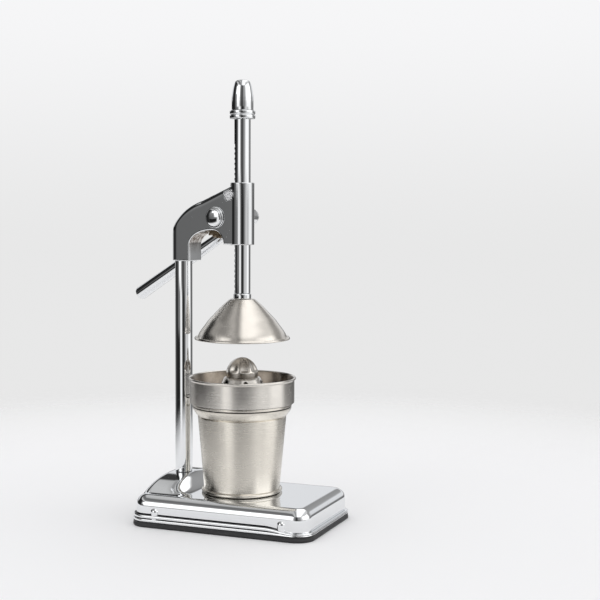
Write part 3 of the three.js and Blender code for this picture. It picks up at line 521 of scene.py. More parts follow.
def make_object(name, points, faces):
    mesh = bpy.data.meshes.new(name)
    mesh.from_pydata((np.asarray(points, float) * MM).tolist(), [], faces)
    mesh.validate()
    corners = np.array([vertex.co for vertex in mesh.vertices])
    mesh.calc_loop_triangles()
    triangles = np.array([triangle.vertices[:] for triangle in mesh.loop_triangles])
    a, b, c = (corners[triangles[:, side]] for side in range(3))
    if np.einsum("ij,ij->i", a, np.cross(b, c)).sum() < 0:
        mesh.flip_normals()
    return smooth(put_in_scene(name, mesh))


def smooth(piece):
    piece.data.shade_smooth()
    piece.data.set_sharp_from_angle(angle=SHARP_ANGLE)
    return piece


def rounded(corners, closed=False):
    """The profile with each corner that has a third number rounded by that radius."""
    line = []
    count = len(corners)
    for index, corner in enumerate(corners):
        here = Vector(corner[:2])
        size = corner[2] if len(corner) > 2 else 0
        ends = index in (0, count - 1) and not closed
        if not size or ends:
            line.append(tuple(here))
            continue
        before = Vector(corners[index - 1][:2]) - here
        after = Vector(corners[(index + 1) % count][:2]) - here
        reach = min(size, before.length / 2.01, after.length / 2.01)
        start, end = here + before.normalized() * reach, here + after.normalized() * reach
        for step in range(FILLET_STEPS + 1):
            t = step / FILLET_STEPS
            line.append(tuple((1 - t) ** 2 * start + 2 * t * (1 - t) * here + t * t * end))
    if closed:
        line.append(line[0])
    return line


def ring_profile(bore, radius, low, high, foot_size, top_size=None):
    """A bored disc or tube, with its outer edges rounded."""
    outside = [(radius, low, foot_size), (radius, high, top_size or foot_size)]
    return rounded([(bore, low), *outside, (bore, high)], closed=True)


def curve_through(points, steps=8):
    """A smooth line through points, by Catmull and Rom's rule."""
    given = [np.array(point) for point in points]
    ends = [2 * given[0] - given[1], *given, 2 * given[-1] - given[-2]]
    line = []
    for a, b, c, d in zip(ends, ends[1:], ends[2:], ends[3:]):
        for step in range(steps):
            t = step / steps
            line.append(tuple(0.5 * (2 * b + (c - a) * t + (2 * a - 5 * b + 4 * c - d) * t ** 2
                                     + (3 * b - a - 3 * c + d) * t ** 3)))
    return [*line, tuple(points[-1])]


def raised(corners, level):
    """The same corners, with their heights counted from a level."""
    return [(radius, level + height, *size) for radius, height, *size in corners]


def lathe(name, profile, steps=ROUND_STEPS):
    angles = np.linspace(0, 2 * pi, steps, endpoint=False)
    closed = profile[0] == profile[-1] and profile[0][0] > 0
    line = profile[:-1] if closed else profile
    points, rings, faces = [], [], []
    for radius, height in line:
        if radius < ON_AXIS:
            rings.append([len(points)] * steps)
            points.append((0, 0, height))
        else:
            rings.append(range(len(points), len(points) + steps))
            points.extend(zip(radius * np.cos(angles), radius * np.sin(angles), [height] * steps))
    for low, high in zip(rings, rings[1:] + (rings[:1] if closed else [])):
        for k in range(steps):
            after = (k + 1) % steps
            faces.append(list(dict.fromkeys([low[k], low[after], high[after], high[k]])))
    return make_object(name, points, faces)


def corners_of(piece):
    """The piece's points in millimetres."""
    return np.array([vertex.co for vertex in piece.data.vertices]) / MM


def mark(piece, name, shares):
    """Writes a share for each point of the mesh, for a finish to read."""
    piece.data.attributes.new(name, "FLOAT", "POINT").data.foreach_set("value", np.asarray(shares, float))


def within(values, low, high):
    return (values > low) & (values < high)


def settle(piece, body, slot, material, *cad_nodes):
    if material:
        piece.data.materials.clear()
        piece.data.materials.append(material)
    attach(piece, body)
    if cad_nodes:
        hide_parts(*cad_nodes)
    print(piece.name, len(piece.data.polygons), "faces, rides on", body)
    return piece


def turn_to_y(piece, place=(0, 0, 0), flip=False):
    """Lays a piece that was turned round Z along Y, and moves it to its place."""
    turn = Matrix.Rotation(radians(90 if flip else -90), 4, "X")
    piece.data.transform(Matrix.Translation(Vector(place) * MM) @ turn)
    return piece


def keep_result(piece, modifier):
    """Turns what a modifier makes into the piece's plain mesh, and takes the modifier off."""
    bpy.context.view_layer.update()
    seen = piece.evaluated_get(bpy.context.evaluated_depsgraph_get())
    plain = bpy.data.meshes.new_from_object(seen)
    piece.modifiers.remove(modifier)
    piece.data = plain
    plain.name = piece.name


def bake(piece, tree, values):
    """Runs a Geometry Nodes tree on a piece, and keeps the result."""
    modifier = piece.modifiers.new("nodes", "NODES")
    modifier.node_group = tree
    sockets = {item.name: item.identifier for item in tree.interface.items_tree if item.in_out == "INPUT"}
    for name, value in values.items():
        modifier[sockets[name]] = value
    keep_result(piece, modifier)


def new_tree(name, sockets):
    tree = bpy.data.node_groups.new(name, "GeometryNodeTree")
    tree.interface.new_socket(name="Geometry", in_out="OUTPUT", socket_type="NodeSocketGeometry")
    tree.interface.new_socket(name="Geometry", in_out="INPUT", socket_type="NodeSocketGeometry")
    for label, kind in sockets.items():
        tree.interface.new_socket(name=label, in_out="INPUT", socket_type="NodeSocket" + kind)
    way_in = tree.nodes.new("NodeGroupInput")
    way_out = tree.nodes.new("NodeGroupOutput")
    return tree, way_in.outputs, way_out.inputs


print("mesh helpers ready")

# %% [markdown]
# ## Base
# The base is one pressed sheet of steel, chromed: a rounded rectangle with a soft shoulder, a flange along
# its foot, and a ridge that swells under the column and ramps down to the cup. Its shape follows a rule, the
# height of the ridge at each place, so it is lofted from rings of points. The rings are drawn close together,
# because a mirror shows every facet.

# %% Base outline and ridge
BASE_TURN = radians(11)
BASE_LENGTH, BASE_WIDTH, BASE_CORNER = 180, 120, 17
BASE_TOP = 28.6
SHOULDER = 10.0
RIDGE_HEIGHT, RIDGE_SPAN, RIDGE_POWER = 11, 54, 2.5
RIDGE_FLAT, RIDGE_RUN = 9.5, 30.3
COLUMN_IN_BASE = np.array([column_x * cos(BASE_TURN), -column_x * sin(BASE_TURN)])
CORNER_STEPS, SIDE_STEPS = 14, 26


def base_outline(inset):
    half = np.array([BASE_LENGTH / 2 - BASE_CORNER, BASE_WIDTH / 2 - BASE_CORNER])
    radius = BASE_CORNER - inset
    points = []
    for corner, signs in enumerate([(1, 1), (-1, 1), (-1, -1), (1, -1)]):
        angles = (corner + np.linspace(0, 1, CORNER_STEPS + 1)) * pi / 2
        points.append(half * signs + radius * np.stack([np.cos(angles), np.sin(angles)], axis=1))
    line = []
    for arc, after in zip(points, points[1:] + points[:1]):
        shares = np.linspace(0, 1, SIDE_STEPS + 1)[1:-1, None]
        line += [arc, arc[-1] + (after[0] - arc[-1]) * shares]
    return np.vstack(line)


def ridge(x, y):
    share = np.clip((x - COLUMN_IN_BASE[0] - RIDGE_FLAT) / (RIDGE_RUN - RIDGE_FLAT), 0, 1)
    crest = np.clip(np.abs(y - COLUMN_IN_BASE[1]) / RIDGE_SPAN, 0, 1)
    return RIDGE_HEIGHT * (1 - crest ** RIDGE_POWER) * (1 + np.cos(pi * share)) / 2


def lofted(name, rings, first, last):
    """A closed skin over rings of points, with a middle point at each end."""
    count = len(rings[0])
    points = np.vstack([[first], *rings, [last]])

    def at(ring, k):
        return 1 + ring * count + k % count

    faces = [(0, at(0, k), at(0, k + 1)) for k in range(count)]
    faces += [(at(j, k), at(j + 1, k), at(j + 1, k + 1), at(j, k + 1))
              for j in range(len(rings) - 1) for k in range(count)]
    faces += [(len(points) - 1, at(len(rings) - 1, k + 1), at(len(rings) - 1, k)) for k in range(count)]
    return make_object(name, points, faces)


def at_height(line, height):
    return np.column_stack([line, np.broadcast_to(height, len(line))])


print("points in each ring of the base:", len(base_outline(0)))

# %% [markdown]
# ### The pressed shell
# The upper skin runs from the column out to the shoulder and down the wall, then out over the rolled flange
# and back up inside. The rings near the column are close together, because the ridge bends most there.

# %% Base shell
FLANGE_STEP = 3.0
# The flange is tucked under at the end away from the column, where only a share of its height shows
TUCK_START, TUCKED, TUCK_SHARE = 42.0, 14.0, 0.4
# Inset, height over the shell's foot, rounding: the wall, a crease, a bead, a finer crease, a lower edge
FLANGE = [
    (3.0, 9.0, 0), (3.0, 6.9, 0.3), (3.5, 6.5, 0.2), (3.5, 6.1, 0.2), (0.5, 5.9, 0.9), (0.2, 3.4, 0.6),
    (1.6, 3.0, 0.2), (1.6, 2.5, 0.2), (0.3, 2.2, 0.4), (0, 0, 0.6), (7.0, 0, 0),
]
# Points this far in, between these heights, lie in a crease, which is darkened as painted shade
CREASE_INSET, CREASE_LOW, CREASE_HIGH = 1.3, 2, 7.2
SHEET = 4.0
TOP_RINGS, SHOULDER_RINGS = 44, 12
# Where the first ring is, and how much of the ridge is left where the wall ends
FIRST_RING, RIDGE_LEFT = 0.04, 0.35


def shell_skin(inset, drop, shoulder):
    edge = base_outline(inset + shoulder)
    rings = []
    for share in np.linspace(FIRST_RING, 1, TOP_RINGS, endpoint=False):
        flat = COLUMN_IN_BASE + (edge - COLUMN_IN_BASE) * share
        rings.append(at_height(flat, BASE_TOP - drop + ridge(*flat.T)))
    for angle in np.linspace(pi / 2, 0, SHOULDER_RINGS):
        line = base_outline(inset + shoulder * (1 - cos(angle)))
        height = BASE_TOP - SHOULDER + (SHOULDER - drop) * sin(angle)
        left = RIDGE_LEFT + (1 - RIDGE_LEFT) * sin(angle)
        rings.append(at_height(line, height + ridge(*line.T) * left))
    return rings


def make_base_shell():
    flange, shares = [], []
    for inset, height in rounded(raised(FLANGE, shell_low))[1:]:
        line = base_outline(inset)
        share = np.clip((BASE_LENGTH / 2 - line[:, 0] - TUCKED) / (TUCK_START - TUCKED), 0, 1)
        full = TUCK_SHARE + (1 - TUCK_SHARE) * share * share * (3 - 2 * share)
        flange.append(at_height(line, shell_low + (height - shell_low) * full))
        creased = inset > CREASE_INSET and CREASE_LOW < height - shell_low < CREASE_HIGH
        shares.append(creased * (full - TUCK_SHARE) / (1 - TUCK_SHARE))
    outer = shell_skin(FLANGE_STEP, 0, SHOULDER)
    inner = shell_skin(FLANGE_STEP + SHEET, SHEET, SHOULDER - SHEET)
    top, under = (*COLUMN_IN_BASE, hill_top), (*COLUMN_IN_BASE, hill_top - SHEET)
    shell = lofted("base_shell_skin", outer + flange + inner[::-1], top, under)
    clean = [np.zeros(1 + len(rings) * len(rings[0])) for rings in (outer, inner)]
    # Painted shade in the crease at the wall's foot
    mark(shell, "seam", np.hstack([clean[0], *shares, clean[1]]))
    shell.data.transform(Matrix.Rotation(BASE_TURN, 4, "Z"))
    return settle(shell, "stand", "chrome", sheet_chrome, "base_shell")


make_base_shell()

# %% [markdown]
# ### Lugs and screws
# Four screws hold the rubber foot, and each goes up into a small domed lug on the flange. They repeat, so
# one Geometry Nodes tree puts a copy of a model piece on each point of a small mesh, makes the copies real
# and gives them their material. The same tree serves the rack's teeth and the head's screws further down.

# %% A tree that repeats a piece on points


def end_tree(tree, last_node, given, out):
    """Makes what comes out of the last node real, and gives it the asked material."""
    real = add_node(tree, "GeometryNodeRealizeInstances", {"Geometry": last_node.outputs[0]})
    inputs = {"Geometry": real.outputs[0], "Material": given["Material"]}
    tree.links.new(add_node(tree, "GeometryNodeSetMaterial", inputs).outputs[0], out[0])
    return tree


def make_repeat_tree():
    tree, given, out = new_tree("repeat_on_points", {"Piece": "Object", "Material": "Material"})
    piece = add_node(tree, "GeometryNodeObjectInfo", {"Object": given["Piece"]}).outputs["Geometry"]
    inputs = {"Points": given["Geometry"], "Instance": piece}
    return end_tree(tree, add_node(tree, "GeometryNodeInstanceOnPoints", inputs), given, out)


repeat_tree = make_repeat_tree()


def repeat(name, pattern, places, material):
    """Copies of a pattern piece at places in millimetres, as one plain mesh. The pattern is used up."""
    mesh = bpy.data.meshes.new(name)
    mesh.from_pydata((np.asarray(places, float) * MM).tolist(), [], [])
    carrier = put_in_scene(name, mesh)
    bake(carrier, repeat_tree, {"Piece": pattern, "Material": material})
    bpy.data.objects.remove(pattern)
    return smooth(carrier)


print("tree ready:", repeat_tree.name)

# %% Lugs and foot screws
LUG_ENDS, LUG_SIDES = 63, 55
LUG_RADIUS, LUG_HEIGHT, LUG_DOME = 4.2, 12.9, 3.9
FOOT_SCREW = [
    (0, 1.9), (1.5, 1.7), (1.7, 0.8, 0.2), (3.2, 0.8, 0.5), (3.2, 2.8, 0.2), (1.8, 2.8), (1.8, 10.4, 0.4),
    (0, 10.4),
]

base_turn = np.array([[cos(BASE_TURN), -sin(BASE_TURN)], [sin(BASE_TURN), cos(BASE_TURN)]])
corners = [(*(base_turn @ np.array([x * LUG_ENDS, y * LUG_SIDES])), 0) for x in (-1, 1) for y in (-1, 1)]
lug_top = shell_low + LUG_HEIGHT
dome = [(LUG_RADIUS * cos(a), lug_top - LUG_DOME * (1 - sin(a))) for a in np.linspace(0, pi / 2, 9)[:-1]]
lug = lathe("lug", [(0, shell_low), (LUG_RADIUS, shell_low), *dome, (0, lug_top)], 48)
settle(repeat("base_lugs", lug, corners, sheet_chrome), "stand", "chrome", None)
foot_screw = lathe("foot_screw", rounded(FOOT_SCREW), 36)
settle(repeat("foot_screws", foot_screw, corners, turned_steel), "stand", "steel", None,
       "foot_screw_1", "foot_screw_2", "foot_screw_3", "foot_screw_4")

# %% [markdown]
# ### Rubber foot
# The foot is a flat moulding with rounded edges and four sunk holes for the screws. It is lofted from the
# same outline as the shell, so both follow one line.

# %% Rubber foot
FOOT_HIGH, FOOT_MIDDLE = shell_low - FIT, 16
# Inset, share of the foot's height, rounding
FOOT_EDGE = [(0, 0, 1.1), (0, 0.5, 0.4), (0.5, 0.62, 0.3), (0.15, 1, 0.7)]
FOOT_HOLE = [(0, -1), (3.5, -1), (3.5, 3.1), (2.1, 3.1), (2.1, 9), (0, 9)]


def make_rubber_foot():
    edge = [(inset, FOOT_HIGH * share, size) for inset, share, size in FOOT_EDGE]
    profile = rounded([(FOOT_MIDDLE, 0), *edge, (FOOT_MIDDLE, FOOT_HIGH)])
    rings = [at_height(base_outline(inset), height) for inset, height in profile]
    foot = lofted("rubber_foot_pad", rings, (0, 0, 0), (0, 0, FOOT_HIGH))
    foot.data.transform(Matrix.Rotation(BASE_TURN, 4, "Z"))
    holes = repeat("foot_holes", lathe("hole", FOOT_HOLE, 32), corners, black_rubber)
    cutter = foot.modifiers.new("holes", "BOOLEAN")
    cutter.object, cutter.operation, cutter.solver = holes, "DIFFERENCE", "EXACT"
    keep_result(foot, cutter)
    bpy.data.objects.remove(holes)
    return settle(smooth(foot), "stand", "rubber", black_rubber, "rubber_foot")


make_rubber_foot()

# %% [markdown]
# ## Column
# The column is a ground and chromed bar. It is a plain round, so its whole look is in the straight streaks
# that it mirrors, and those only run true on a finely divided lathe shape with small chamfers at its ends.

# %% Column
COLUMN_RADIUS, SPIGOT_RADIUS = 8.25, 5.0
column_low, column_high = hill_top + FIT, head_low - FIT
spigot_low, spigot_high = ends_of("column_rod")
column = lathe("column_bar", rounded([
    (0, spigot_low), (SPIGOT_RADIUS, spigot_low, 0.6), (SPIGOT_RADIUS, column_low),
    (COLUMN_RADIUS, column_low, 0.4), (COLUMN_RADIUS, column_high, 0.4), (SPIGOT_RADIUS, column_high),
    (SPIGOT_RADIUS, spigot_high, 0.6), (0, spigot_high),
]))
column.data.transform(Matrix.Translation((column_x * MM, 0, 0)))
settle(column, "stand", "chrome", tube_chrome, "column_rod")

# %% [markdown]
# ## Head casting
# The head is cast: every corner flows into the next face, and no simple primitive does that. It is described
# as a distance field instead. Each part of it, the rounded arm, the sleeve, the arch and the bores, is a
# function that says how far a point is from its surface, and a soft minimum or maximum joins or cuts them
# with a fillet, as the foundry's pattern does. The surface is found with a surface net: one point in each
# grid cell that the surface crosses, pulled exactly onto it. The field's slope then gives each point its true
# normal, so the mirror stays smooth.

# %% Distance fields
HEAD_HALF_WIDTH = 10.25
HEAD_EDGE = 6.5
SLEEVE_RADIUS = 11.0


def bezier(a, b, c, d, steps=56):
    t = np.linspace(0, 1, steps)[:, None]
    a, b, c, d = (np.array(point, float) for point in (a, b, c, d))
    return (1 - t) ** 3 * a + 3 * t * (1 - t) ** 2 * b + 3 * t * t * (1 - t) * c + t ** 3 * d


def quarter(centre, radii, start, steps=28):
    angles = np.linspace(start, start + pi / 2, steps)
    return np.array(centre) + np.array(radii) * np.stack([np.cos(angles), np.sin(angles)], axis=1)


def outline_distance(x, z, outline):
    """Signed distance from points to a closed outline in X and Z, below zero inside."""
    best = np.full(x.shape, 1e9)
    inside = np.zeros(x.shape, bool)
    for (ax, az), (bx, bz) in zip(outline, np.roll(outline, -1, axis=0)):
        dx, dz = bx - ax, bz - az
        t = np.clip(((x - ax) * dx + (z - az) * dz) / (dx * dx + dz * dz + 1e-12), 0, 1)
        best = np.minimum(best, (x - ax - t * dx) ** 2 + (z - az - t * dz) ** 2)
        crosses = ((az > z) != (bz > z)) & (x < ax + (z - az) * dx / (dz + 1e-12))
        inside ^= crosses
    return np.where(inside, -np.sqrt(best), np.sqrt(best))


def soft_min(a, b, size):
    h = np.clip(0.5 + 0.5 * (b - a) / size, 0, 1)
    return b + (a - b) * h - size * h * (1 - h)


def soft_max(a, b, size):
    return -soft_min(-a, -b, size)


def slab(distance, height, half, edge):
    """A flat shape's distance given a thickness, with rounded edges."""
    a, b = distance + edge, np.abs(height) - half + edge
    outside = np.hypot(np.maximum(a, 0), np.maximum(b, 0))
    return outside + np.minimum(np.maximum(a, b), 0) - edge


print("head half width", HEAD_HALF_WIDTH, "edge", HEAD_EDGE, "sleeve radius", SLEEVE_RADIUS)

# %% Head shape
HEAD_BACK = column_x - HEAD_HALF_WIDTH
# How far the arm's bend and shoulder are from the back or the axis, and over the head's foot
BEND_RISE, BEND_RUN, BEND_TOP = 21, 15.7, 51
SHOULDER_RUN, SHOULDER_RISE, JOIN_RISE = 42, 57.1, 69.6
ARM_SLOPE = (JOIN_RISE - SHOULDER_RISE) / (SHOULDER_RUN - SLEEVE_RADIUS)
ARM_BELOW = head_low - 9
ARCH_CROWN, ARCH_FOOT, ARCH_SPRING, ARCH_RISE = -27.5, -14.8, 15.0, 29.5
ARCH_PAST, ARCH_BELOW = 30, head_low - 14
LEG_INNER = column_x + 14
# Hollows: the pinion's chamber, a slot under it, and the bores for shaft, sleeve, spigot and set screws
CHAMBER_RADIUS, CHAMBER_HALF, SLOT_MIDDLE, SLOT_HALF = 20.2, 7, -27.75, 16.45
SHAFT_HOLE, SLEEVE_HOLE, SPIGOT_HOLE, SPIGOT_RISE = 7.4, 9.3, 5.3, 21.3
SCREW_HOLE, SCREW_RISES = 2.3, (7, 15)
# The arm grows as wide as the sleeve over this run, and their fillet fades out towards the cheeks
SWELL_RUN, FILLET_HALF, FILLET_FADE = 40, 9.8, 2.5
arm_outline = np.vstack([
    [(HEAD_BACK, ARM_BELOW), (SLEEVE_RADIUS, ARM_BELOW),
     (SLEEVE_RADIUS, head_low + JOIN_RISE + ARM_SLOPE * 2 * SLEEVE_RADIUS)],
    bezier((-SHOULDER_RUN, head_low + SHOULDER_RISE), (HEAD_BACK + BEND_RUN, head_low + BEND_TOP),
           (HEAD_BACK, head_low + BEND_RISE + BEND_RUN), (HEAD_BACK, head_low + BEND_RISE)),
])
arch_outline = np.vstack([
    [(LEG_INNER, ARCH_BELOW), (ARCH_PAST, ARCH_BELOW), (ARCH_PAST, sleeve_low)],
    quarter((ARCH_CROWN, sleeve_low), (ARCH_FOOT - ARCH_CROWN, head_low + ARCH_RISE - sleeve_low), 0),
    quarter((ARCH_CROWN, head_low + ARCH_SPRING), (ARCH_CROWN - LEG_INNER, ARCH_RISE - ARCH_SPRING), pi / 2),
])


def head_field(points):
    """Signed distance to the head. The last number of each soft join or cut is its fillet."""
    x, y, z = points.T
    swell = np.clip(1 + x / SWELL_RUN, 0, 1)
    half = HEAD_HALF_WIDTH + (SLEEVE_RADIUS - HEAD_HALF_WIDTH) * swell * swell * (3 - 2 * swell)
    arm = slab(outline_distance(x, z, arm_outline), y, half, HEAD_EDGE)
    leg = np.hypot(np.minimum(x - column_x, 0), y) - HEAD_HALF_WIDTH
    arm = np.maximum(soft_max(arm, leg, 1.5), x)
    arch = slab(outline_distance(x, z, arch_outline), y, 2 * HEAD_HALF_WIDTH, 0)
    arm = soft_max(arm, -arch, 1.6)
    across = np.hypot(x, y)
    middle, half_tall = (sleeve_low + sleeve_high) / 2, (sleeve_high - sleeve_low) / 2
    sleeve = slab(across - SLEEVE_RADIUS, z - middle, half_tall, 0.7)
    fillet = 0.1 + 1.5 * np.clip((FILLET_HALF - np.abs(y)) / FILLET_FADE, 0, 1)
    cast = soft_min(arm, sleeve, fillet)
    cast = soft_max(cast, head_low - z, 0.8)
    away = np.hypot(x - pivot.x, z - pivot.z)
    chamber = np.maximum(away - CHAMBER_RADIUS, np.abs(y) - CHAMBER_HALF)
    slot = np.maximum(np.abs(x - SLOT_MIDDLE) - SLOT_HALF, np.maximum(np.abs(y) - CHAMBER_HALF, z - pivot.z))
    spigot = np.maximum(np.hypot(x - column_x, y) - SPIGOT_HOLE, z - head_low - SPIGOT_RISE)
    screws = [np.maximum(np.hypot(x - column_x, z - head_low - rise) - SCREW_HOLE, -y)
              for rise in SCREW_RISES]
    hollow = soft_min(chamber, slot, 0.8)
    for bore in (away - SHAFT_HOLE, across - SLEEVE_HOLE, spigot, *screws):
        hollow = np.minimum(hollow, bore)
    return soft_max(cast, -hollow, 0.7)


print("head outlines:", len(arm_outline), "and", len(arch_outline), "points")

# %% Surface net
SQUARE = ((0, 0), (0, 1), (1, 1), (1, 0))


def slope(field, points, gap=0.02):
    steps = np.eye(3) * gap
    return np.stack([field(points + step) - field(points - step) for step in steps], axis=1) / (2 * gap)


def surface_net(name, field, low, high, cell):
    """A closed mesh on the field's zero surface, from one point in each cell that it crosses."""
    axes = [np.arange(a, b + cell, cell) for a, b in zip(low, high)]
    grid = np.stack(np.meshgrid(*axes, indexing="ij"), axis=-1)
    shape = np.array(grid.shape[:3])
    value = field(grid.reshape(-1, 3)).reshape(shape)
    inside = value < 0
    total, crossings, edges = np.zeros([*shape - 1, 3]), np.zeros(shape - 1), []
    for axis in range(3):
        first, second = (tuple(part if k == axis else slice(None) for k in range(3))
                         for part in (slice(-1), slice(1, None)))
        a, b = value[first], value[second]
        crosses = inside[first] != inside[second]
        share = np.where(crosses, a / np.where(a == b, 1, a - b), 0)
        places = grid[first] + share[..., None] * (grid[second] - grid[first])
        others = [k for k in range(3) if k != axis]
        for shift in sorted(SQUARE):
            cut = [slice(None)] * 3
            for other, by in zip(others, shift):
                cut[other] = slice(by, shape[other] - 1 + by)
            cut = tuple(cut)
            total += places[cut] * crosses[cut][..., None]
            crossings += crosses[cut]
        edges.append((axis, others, np.argwhere(crosses), inside[first]))
    used = crossings > 0
    number = np.full(used.shape, -1)
    number[used] = np.arange(used.sum())
    points = total[used] / crossings[used][:, None]
    for _ in range(4):
        way = slope(field, points)
        step = field(points) / np.maximum((way ** 2).sum(axis=1), 0.2)
        points -= np.clip(step, -cell / 2, cell / 2)[:, None] * way
    faces = []
    for axis, others, places, starts_inside in edges:
        places = places[np.all(places[:, others] > 0, axis=1)]
        loop = []
        for shift in SQUARE:
            cells = places.copy()
            cells[:, others] -= shift[::-1]
            loop.append(number[tuple(cells.T)])
        loop = np.stack(loop, axis=1)
        flip = starts_inside[tuple(places.T)] ^ (axis == 1)
        loop[flip] = loop[flip][:, ::-1]
        faces.append(loop)
    made = make_object(name, points, np.vstack(faces).tolist())
    normals = slope(field, points)
    normals /= np.linalg.norm(normals, axis=1)[:, None]
    if "sharp_edge" in made.data.attributes:
        made.data.attributes.remove(made.data.attributes["sharp_edge"])
    made.data.normals_split_custom_set_from_vertices(normals.tolist())
    return made


MARGIN, CELL = 1.5, 0.62
# The inside of the arch is left raw, more and more over this height
RAW_START, RAW_RUN, RAW_NEAR, RAW_FACING = 6, 16, 0.5, 0.6
side = SLEEVE_RADIUS + MARGIN
head_piece = surface_net("head_cast", head_field, (HEAD_BACK - MARGIN, -side, head_low - MARGIN),
                         (side, side, sleeve_high + MARGIN), CELL)
at = corners_of(head_piece)
in_arch = np.abs(outline_distance(at[:, 0], at[:, 2], arch_outline)) < RAW_NEAR
facing = np.array([normal.vector for normal in head_piece.data.vertex_normals])
high_up = np.clip((at[:, 2] - head_low - RAW_START) / RAW_RUN, 0, 1)
mark(head_piece, "raw", (in_arch & (np.abs(facing[:, 1]) < RAW_FACING)) * high_up)
settle(head_piece, "stand", "chrome", cast_chrome, "head_casting")
print("head casting:", len(head_piece.data.vertices), "points")

# %% [markdown]
# ### Set screws of the head
# Two set screws at the back clamp the head on the column's spigot. Each has a socket.

# %% Head screws
HEAD_SCREW = [(0, 0), (2.0, 0), (2.0, 4.2, 0.3), (1.25, 4.2, 0.1), (1.2, 2.2), (0, 2.0)]
screw_y = ends_of("head_screw_1", "y")[0]
head_screw = turn_to_y(lathe("head_screw", rounded(HEAD_SCREW), 30))
places = [(column_x, screw_y, head_low + rise) for rise in SCREW_RISES]
settle(repeat("head_screws", head_screw, places, turned_steel), "stand", "steel", None,
       "head_screw_1", "head_screw_2")

# %% [markdown]
# ## Ram with its rack
# The ram is a chromed bar with a rack cut along the side of the column. The bar is lofted with a flat where
# the teeth are, and the teeth are one pattern tooth, repeated by the tree at the rack's pitch.

# %% Ram
RAM_RADIUS, NECK_RADIUS, RAM_EDGE = 7.5, 4.0, 0.4
MODULE, PINION_TEETH, PRESSURE = 1.5, 24, radians(20)
PITCH = pi * MODULE
BACKLASH = 0.4
# Tooth gaps on each side of the middle
GAPS = 14
TOOTH_BEVEL, TOOTH_SUNK, RUN_OUT = 0.18, 0.3, 0.3
ram_low, neck_high = ends_of("ram_rod")
ram_high = ends_of("cap_collar")[0] - FIT
rack_line = pivot.x + MODULE * PINION_TEETH / 2
rack_tip, rack_root = rack_line - 0.8 * MODULE, rack_line + 1.25 * MODULE


def half_gap(depth):
    return BACKLASH / 2 + PITCH / 4 - depth * tan(PRESSURE)


def cut_round(radius, flat, height, steps=128):
    """One ring of a bar cut off at X = flat. Its points keep their angles, so that rings match."""
    angles = np.linspace(0, 2 * pi, steps, endpoint=False)
    x, y = radius * np.cos(angles), radius * np.sin(angles)
    return at_height(np.column_stack([np.maximum(x, flat), y]), height)


def make_ram():
    first, last = pivot.z - GAPS * PITCH, pivot.z + GAPS * PITCH
    root, tip = half_gap(rack_root - rack_line), half_gap(rack_tip - rack_line)
    whole = -RAM_RADIUS
    levels = [
        (RAM_RADIUS - RAM_EDGE, whole, ram_low), (RAM_RADIUS, whole, ram_low + RAM_EDGE),
        (RAM_RADIUS, whole, first - PITCH / 2), (RAM_RADIUS, rack_tip, first - PITCH / 2 + RUN_OUT),
        (RAM_RADIUS, rack_tip, first - tip), (RAM_RADIUS, rack_root, first - root),
        (RAM_RADIUS, rack_root, last + root), (RAM_RADIUS, rack_tip, last + tip),
        (RAM_RADIUS, rack_tip, last + PITCH / 2 - RUN_OUT), (RAM_RADIUS, whole, last + PITCH / 2),
        (RAM_RADIUS, whole, ram_high - RAM_EDGE), (RAM_RADIUS - RAM_EDGE, whole, ram_high),
        (NECK_RADIUS, whole, ram_high), (NECK_RADIUS, whole, neck_high),
    ]
    bar = lofted("ram_bar", [cut_round(*level) for level in levels], (0, 0, ram_low), (0, 0, neck_high))
    return settle(bar, "ram", "chrome", tube_chrome, "ram_rod")


def make_rack_teeth():
    slices = []
    for x in np.linspace(rack_root + TOOTH_SUNK, rack_tip, 7):
        half = PITCH / 2 - half_gap(x - rack_line)
        wide = sqrt(RAM_RADIUS ** 2 - x * x) - 0.01
        slices.append(np.array([(x, -wide, -half), (x, wide, -half), (x, wide, half), (x, -wide, half)]))
    tooth = lofted("rack_tooth", slices, slices[0].mean(axis=0), slices[-1].mean(axis=0))
    bevel = tooth.modifiers.new("edge", "BEVEL")
    bevel.width, bevel.segments, bevel.limit_method = TOOTH_BEVEL * MM, 2, "ANGLE"
    keep_result(tooth, bevel)
    places = [(0, 0, pivot.z + (k + 0.5) * PITCH) for k in range(-GAPS, GAPS)]
    return settle(repeat("rack_teeth", tooth, places, tube_chrome), "ram", "chrome", None)


make_ram()
make_rack_teeth()

# %% [markdown]
# ## Cap of the ram
# The ram ends in a grooved collar and a bullet-shaped cap, both turned from bar. The cap's profile is a curve
# through a few measured points, so that no step shows in the mirror.

# %% Collar and cap
BORE = NECK_RADIUS + FIT
COLLAR_RADIUS, GROOVE_RADIUS, GROOVE_HALF = 11.75, 10.7, 0.55
CAP_RADIUS = 10
CAP_SHARES = [(1, 0.3), (0.972, 0.5), (0.895, 0.7), (0.8, 0.84), (0.66, 0.945), (0.42, 0.99), (0, 1)]
collar_low, collar_high = ends_of("cap_collar")
middle = (collar_low + collar_high) / 2
collar = lathe("grooved_collar", rounded([
    (BORE, collar_low), (COLLAR_RADIUS, collar_low, 0.7), (COLLAR_RADIUS, middle - GROOVE_HALF, 0.5),
    (GROOVE_RADIUS, middle, 0.3), (COLLAR_RADIUS, middle + GROOVE_HALF, 0.5),
    (COLLAR_RADIUS, collar_high, 0.7), (BORE, collar_high),
], closed=True))
settle(collar, "ram", "chrome", tube_chrome, "cap_collar")

cap_low, cap_high = ends_of("ram_cap")
dome = curve_through([(CAP_RADIUS * out, cap_low + (cap_high - cap_low) * up) for out, up in CAP_SHARES])
bore_end = neck_high + FIT
cap_foot = rounded([(0, bore_end), (BORE, bore_end), (BORE, cap_low), (CAP_RADIUS, cap_low, 0.4), dome[0]])
settle(lathe("bullet_cap", [*cap_foot, *dome[1:]]), "ram", "chrome", tube_chrome, "ram_cap")

